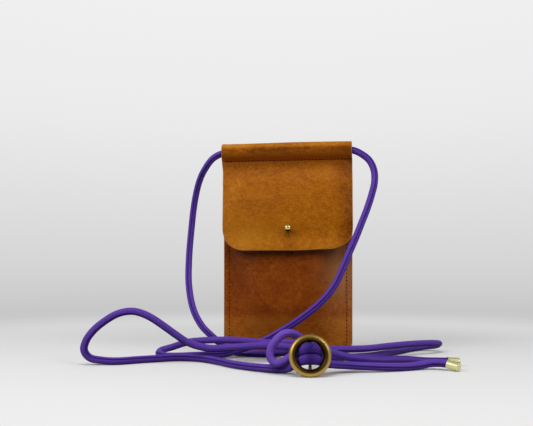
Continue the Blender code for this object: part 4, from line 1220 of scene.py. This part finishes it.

# %% [markdown]
# ## Stud
# The stud is one turned part: a ball that the flap's hole snaps over, a neck as long as the leather is
# thick, and a flat foot on the pocket. The ball's underside is painted dark: painted shade and a
# painted dark reflection.

# %% Stud profile
FACING =Matrix.Rotation(math.pi / 2, 4, "X")
BALL_RADIUS, BALL_LIFT = 0.0034, 0.0004
BALL_STEPS, BALL_START = 40, 0.03
NECK_RADIUS, FOOT_RADIUS = 0.0020, 0.0042
NECK_START, NECK_FILLET, FOOT_FILLET = 0.0006, 0.0005, 0.0004
# Painted shade: the ball's underside is painted dark.
STUD_PAINTED_SHADE = (0.45, 0.75)
foot_y =INNER_Y - FLAP_IN + GAP + STUD_FOOT_HEIGHT
ball_z = STUD_Z + BALL_LIFT
ball_height = STUD_FOOT_HEIGHT + GAP + LEATHER + GAP + BALL_RADIUS

ball_angle = np.linspace(BALL_START, math.pi - math.asin(NECK_RADIUS / BALL_RADIUS), BALL_STEPS)
neck_foot, foot_top = (NECK_RADIUS, STUD_FOOT_HEIGHT), (FOOT_RADIUS, STUD_FOOT_HEIGHT)
ball = BALL_RADIUS * np.column_stack([np.sin(ball_angle), np.cos(ball_angle)]) + (0.0, ball_height)
profile = ball.tolist() + [(NECK_RADIUS, STUD_FOOT_HEIGHT + NECK_START)]
profile += rounded(neck_foot, (NECK_RADIUS, ball_height), foot_top, NECK_FILLET)
profile += rounded(foot_top, (0.0, STUD_FOOT_HEIGHT), (FOOT_RADIUS, 0.0), FOOT_FILLET)
profile += [(FOOT_RADIUS, 0.0), (0.0002, 0.0)]
stud_piece = spun("stud", profile, Matrix.Translation((STUD_X, foot_y, ball_z)) @ FACING, stud_brass)
# Painted shade and a painted dark reflection on the ball's underside.
under = np.array([(ball_z - point.co.z) / BALL_RADIUS for point in stud_piece.data.vertices])
kept(stud_piece, "painted_shade", eased(under, *STUD_PAINTED_SHADE))
print("stud front at y %.2f mm" % ((foot_y - ball_height - BALL_RADIUS) * 1000))

# %% [markdown]
# ## Caps on the cord's ends
# A braid frays where it is cut, so each end is glued into a small turned cap. Its profile starts in the
# drilled bore, goes over the rim with its broken edges and closes in the rounded far end.

# %% Caps
CAP_RADIUS = 0.0034
CAP_LENGTH = 0.0099
CAP_SEAT = 0.0074
CAP_BORE, BORE_DEPTH = CORD_RADIUS + GAP / 2, 0.0030
BORE_BREAK, RIM_BREAK, END_ROUND = 0.0002, 0.0003, 0.0011

profile = [(CAP_BORE, BORE_DEPTH), (CAP_BORE, BORE_BREAK)]
profile += rounded((CAP_BORE, 0.0), (CAP_BORE, BORE_DEPTH), (CAP_RADIUS, 0.0), BORE_BREAK, 2)
profile += rounded((CAP_RADIUS, 0.0), (0.0, 0.0), (CAP_RADIUS, CAP_LENGTH), RIM_BREAK)
profile += rounded((CAP_RADIUS, CAP_LENGTH), (CAP_RADIUS, 0.0), (0.0, CAP_LENGTH), END_ROUND)
profile += [(0.0003, CAP_LENGTH)]
caps = {}
for row, (tip, ahead) in tail_ends.items():
    turn = Vector(ahead).to_track_quat("Z", "Y").to_matrix().to_4x4()
    caps[row] = spun(row + "_cap", profile, Matrix.Translation(tip - ahead * CAP_SEAT) @ turn, cap_brass)
print("caps", sorted(caps))

# %% [markdown]
# ## What moves with what
# The flap bends out from just under the stitches. The ring slides along the cord, so ring and bar go with
# the slider; the runs, the loop's cord, panels, seams, stud and caps go with the bag, and the flap and the
# cord's passes and tails are left where they are.


for name, (piece, path) in cord_parts.items():
    if name.endswith("_pass"):
        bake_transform(piece)
    elif name.endswith("_tail"):
        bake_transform(piece)
    else:
        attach(piece, "bag")
for piece in (back_piece, pocket_piece, *seams, stud_piece, caps["lower"], caps["upper"]):
    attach(piece, "bag")
for piece in (ring_piece, bar_piece):
    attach(piece, "slider")
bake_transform(flap_piece)

# %% [markdown]
# ## What stands for what
# Each piece takes the place of one or more nodes of the engineering model. The stud's screw is kept as
# it is, inside the pocket, and only gets its brass.

# %% Replacing
CORD_NODES = {
    "left_cord": ("cord_left_drop", "cord_floor_run", "cord_big_loop"),
    "right_cord": ("cord_right_drop", "cord_small_loop"),
    "loop_cord": ("cord_in_loop",),
    "lower_pass": ("cord_lower_lead", "cord_lower_weave"),
    "upper_pass": ("cord_upper_lead", "cord_upper_weave"),
    "lower_tail": ("cord_lower_tail",),
    "upper_tail": ("cord_upper_tail",),
}
for name, nodes in CORD_NODES.items():
    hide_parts(*nodes)
for piece, node in ((back_piece, "back_panel"), (pocket_piece, "front_panel"), (flap_piece, "flap"),
                    (stud_piece, "stud_ball"), (ring_piece, "slider_ring"),
                    (caps["lower"], "lower_end_cap"), (caps["upper"], "upper_end_cap")):
    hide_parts(node)
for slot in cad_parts["stud_screw"].material_slots:
    slot.material = stud_brass
print("cord nodes replaced:", sum(map(len, CORD_NODES.values())))

# %% [markdown]
# ## Lengths of the cord
# Each stretch has its real length listed, and the cord is 6.2 mm thick. All but the tails go back into
# the object; a tail ends in its metal cap.

# %% Cord facts
CORD_LENGTHS = {
    "left_cord": 1.023, "right_cord": 0.575, "loop_cord": 0.107, "lower_pass": 0.060, "upper_pass": 0.063,
    "lower_tail": 0.106, "upper_tail": 0.118,
}
for name, length in CORD_LENGTHS.items():
    piece, path = cord_parts[name]
print("cord declared: %.3f m" % sum(CORD_LENGTHS.values()))

# %% [markdown]
# ## Floor, backdrop and light
# The set is a pale paper sweep: a floor that goes over into a wall without an edge. Near the bag the
# floor is really lit, so it carries the soft shadows. Further off it gives way to the plain grey that a
# camera sees there, a little darker where the paper bends up, and the world carries on from that grey.
# The light that the paper throws back is dimmer than it looks, so that undersides stay dark.

# %% Floor
FLOOR_HALF = 60.0
LIT_REACH, PLAIN_REACH = 0.20, 0.50
PAPER_SEEN, PAPER_THROWN = "DFDFDF", "808080"
FLOOR_GREYS = [(0.167, "E8E8E8"), (0.242, "DEDEDE"), (0.306, "D8D8D8"), (0.363, "D1D1D1"), (0.420, "C9C9C9"),
               (0.480, "C7C7C7"), (0.592, "CACACA"), (0.773, "CECECE"), (1.0, "D1D1D1")]

floor_finish, tree, lit = new_finish("pale_paper_sweep", Roughness=0.9, Specular_IOR_Level=0.1)
place = add(tree, "NewGeometry").node.outputs["Position"]
reach = add(tree, "VectorMath", place, operation="LENGTH").node.outputs["Value"]
share = add(tree, "Math", reach, add(tree, "Math", reach, 1.0, operation="ADD"), operation="DIVIDE")
plain = add(tree, "Emission", Color=add(tree, "ValToRGB", share, stops=FLOOR_GREYS), Strength=1.0)
far = add(tree, "MapRange", interpolation_type="SMOOTHSTEP", Value=reach,
          From_Min=LIT_REACH, From_Max=PLAIN_REACH)
rays = add(tree, "LightPath").node.outputs
seen = add(tree, "Math", rays["Is Camera Ray"], rays["Is Glossy Ray"], operation="MAXIMUM")
swept = add(tree, "Math", far, seen, operation="MULTIPLY")
paper = add(tree, "Mix", data_type="RGBA", Factor=seen, _6=linear(PAPER_THROWN), _7=linear(PAPER_SEEN))
feed(lit, Base_Color=paper.node.outputs[2])
feed(tree.nodes["Material Output"], Surface=add(tree, "MixShader", swept, lit.outputs[0], plain))

corners = FLOOR_HALF * np.array([(-1.0, -1.0, 0.0), (1.0, -1.0, 0.0), (1.0, 1.0, 0.0), (-1.0, 1.0, 0.0)])
floor = build_mesh("floor", corners, [[0, 1, 2, 3]], [floor_finish])
floor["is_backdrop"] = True
print("floor finish has", len(tree.nodes), "nodes")

# %% [markdown]
# ## World
# A camera sees the pale wall all round. For light and for reflections the side where a photographer
# stands is darker, as in a studio, and that is what gives polished metal its dark middle.

# %% World
WALL_GREYS = [(0.0, "D1D1D1"), (0.045, "D7D7D7"), (0.089, "DBDBDB"), (0.176, "E3E3E3"), (0.259, "EAEAEA"),
              (0.337, "EDEDED"), (0.441, "F0F0F0")]
VIEWER_SIDE, ROOM_LIGHT = 0.08, 0.50
VIEWER_EDGE, ROOM_EDGE = -0.80, -0.05

world = bpy.data.worlds.new("studio")
bpy.context.scene.world = world
world.use_nodes = True
tree = world.node_tree
tree.nodes.clear()
ways = add(tree, "SeparateXYZ", add(tree, "TexCoord").node.outputs["Generated"]).node.outputs
wall = add(tree, "ValToRGB", ways[2], stops=WALL_GREYS)
facing = add(tree, "MapRange", interpolation_type="SMOOTHSTEP", Value=ways[1], From_Min=VIEWER_EDGE,
             From_Max=ROOM_EDGE, To_Min=VIEWER_SIDE, To_Max=ROOM_LIGHT)
shown = add(tree, "Background", Color=wall, Strength=1.0)
room = add(tree, "Background", Color=wall, Strength=facing)
is_camera = add(tree, "LightPath").node.outputs["Is Camera Ray"]
add(tree, "OutputWorld", Surface=add(tree, "MixShader", is_camera, room, shown))
print("world has", len(tree.nodes), "nodes")

# %% [markdown]
# ## Lamps
# Two soft square lamps at the upper left and right give the broad highlights. One above and a little in
# front fills the top faces, and is kept out of the reflections.

# %% Soft lamps
LAMP_SIZE = 0.5
LAMPS = {
    "left_lamp": ((-0.78, -0.78, 0.72), (0.0, 0.0, 0.08), 6.5),
    "right_lamp": ((0.82, -0.60, 0.70), (0.0, 0.0, 0.08), 3.7),
    "top_lamp": ((0.0, -0.40, 0.92), (0.0, 0.0, 0.0), 4.2),
}
for name, (place, target, power) in LAMPS.items():
    lamp = bpy.data.lights.new(name, "AREA")
    lamp.shape = "SQUARE"
    lamp.size = LAMP_SIZE
    lamp.energy = power
    holder = bpy.data.objects.new(name, lamp)
    holder.location = place
    holder.rotation_euler = (Vector(target) - Vector(place)).to_track_quat("-Z", "Y").to_euler()
    holder.visible_glossy = name != "top_lamp"
    bpy.context.collection.objects.link(holder)
print("lamps", list(LAMPS))

# %% [markdown]
# ## Size
# The box of the dressed model is printed beside the box of the engineering model.

# %% Size and finish
dressed_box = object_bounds()
plain = {"cad": [[float(v) for v in corner] for corner in cad_box],
         "scene": [[float(v) for v in corner] for corner in dressed_box]}
print(plain)
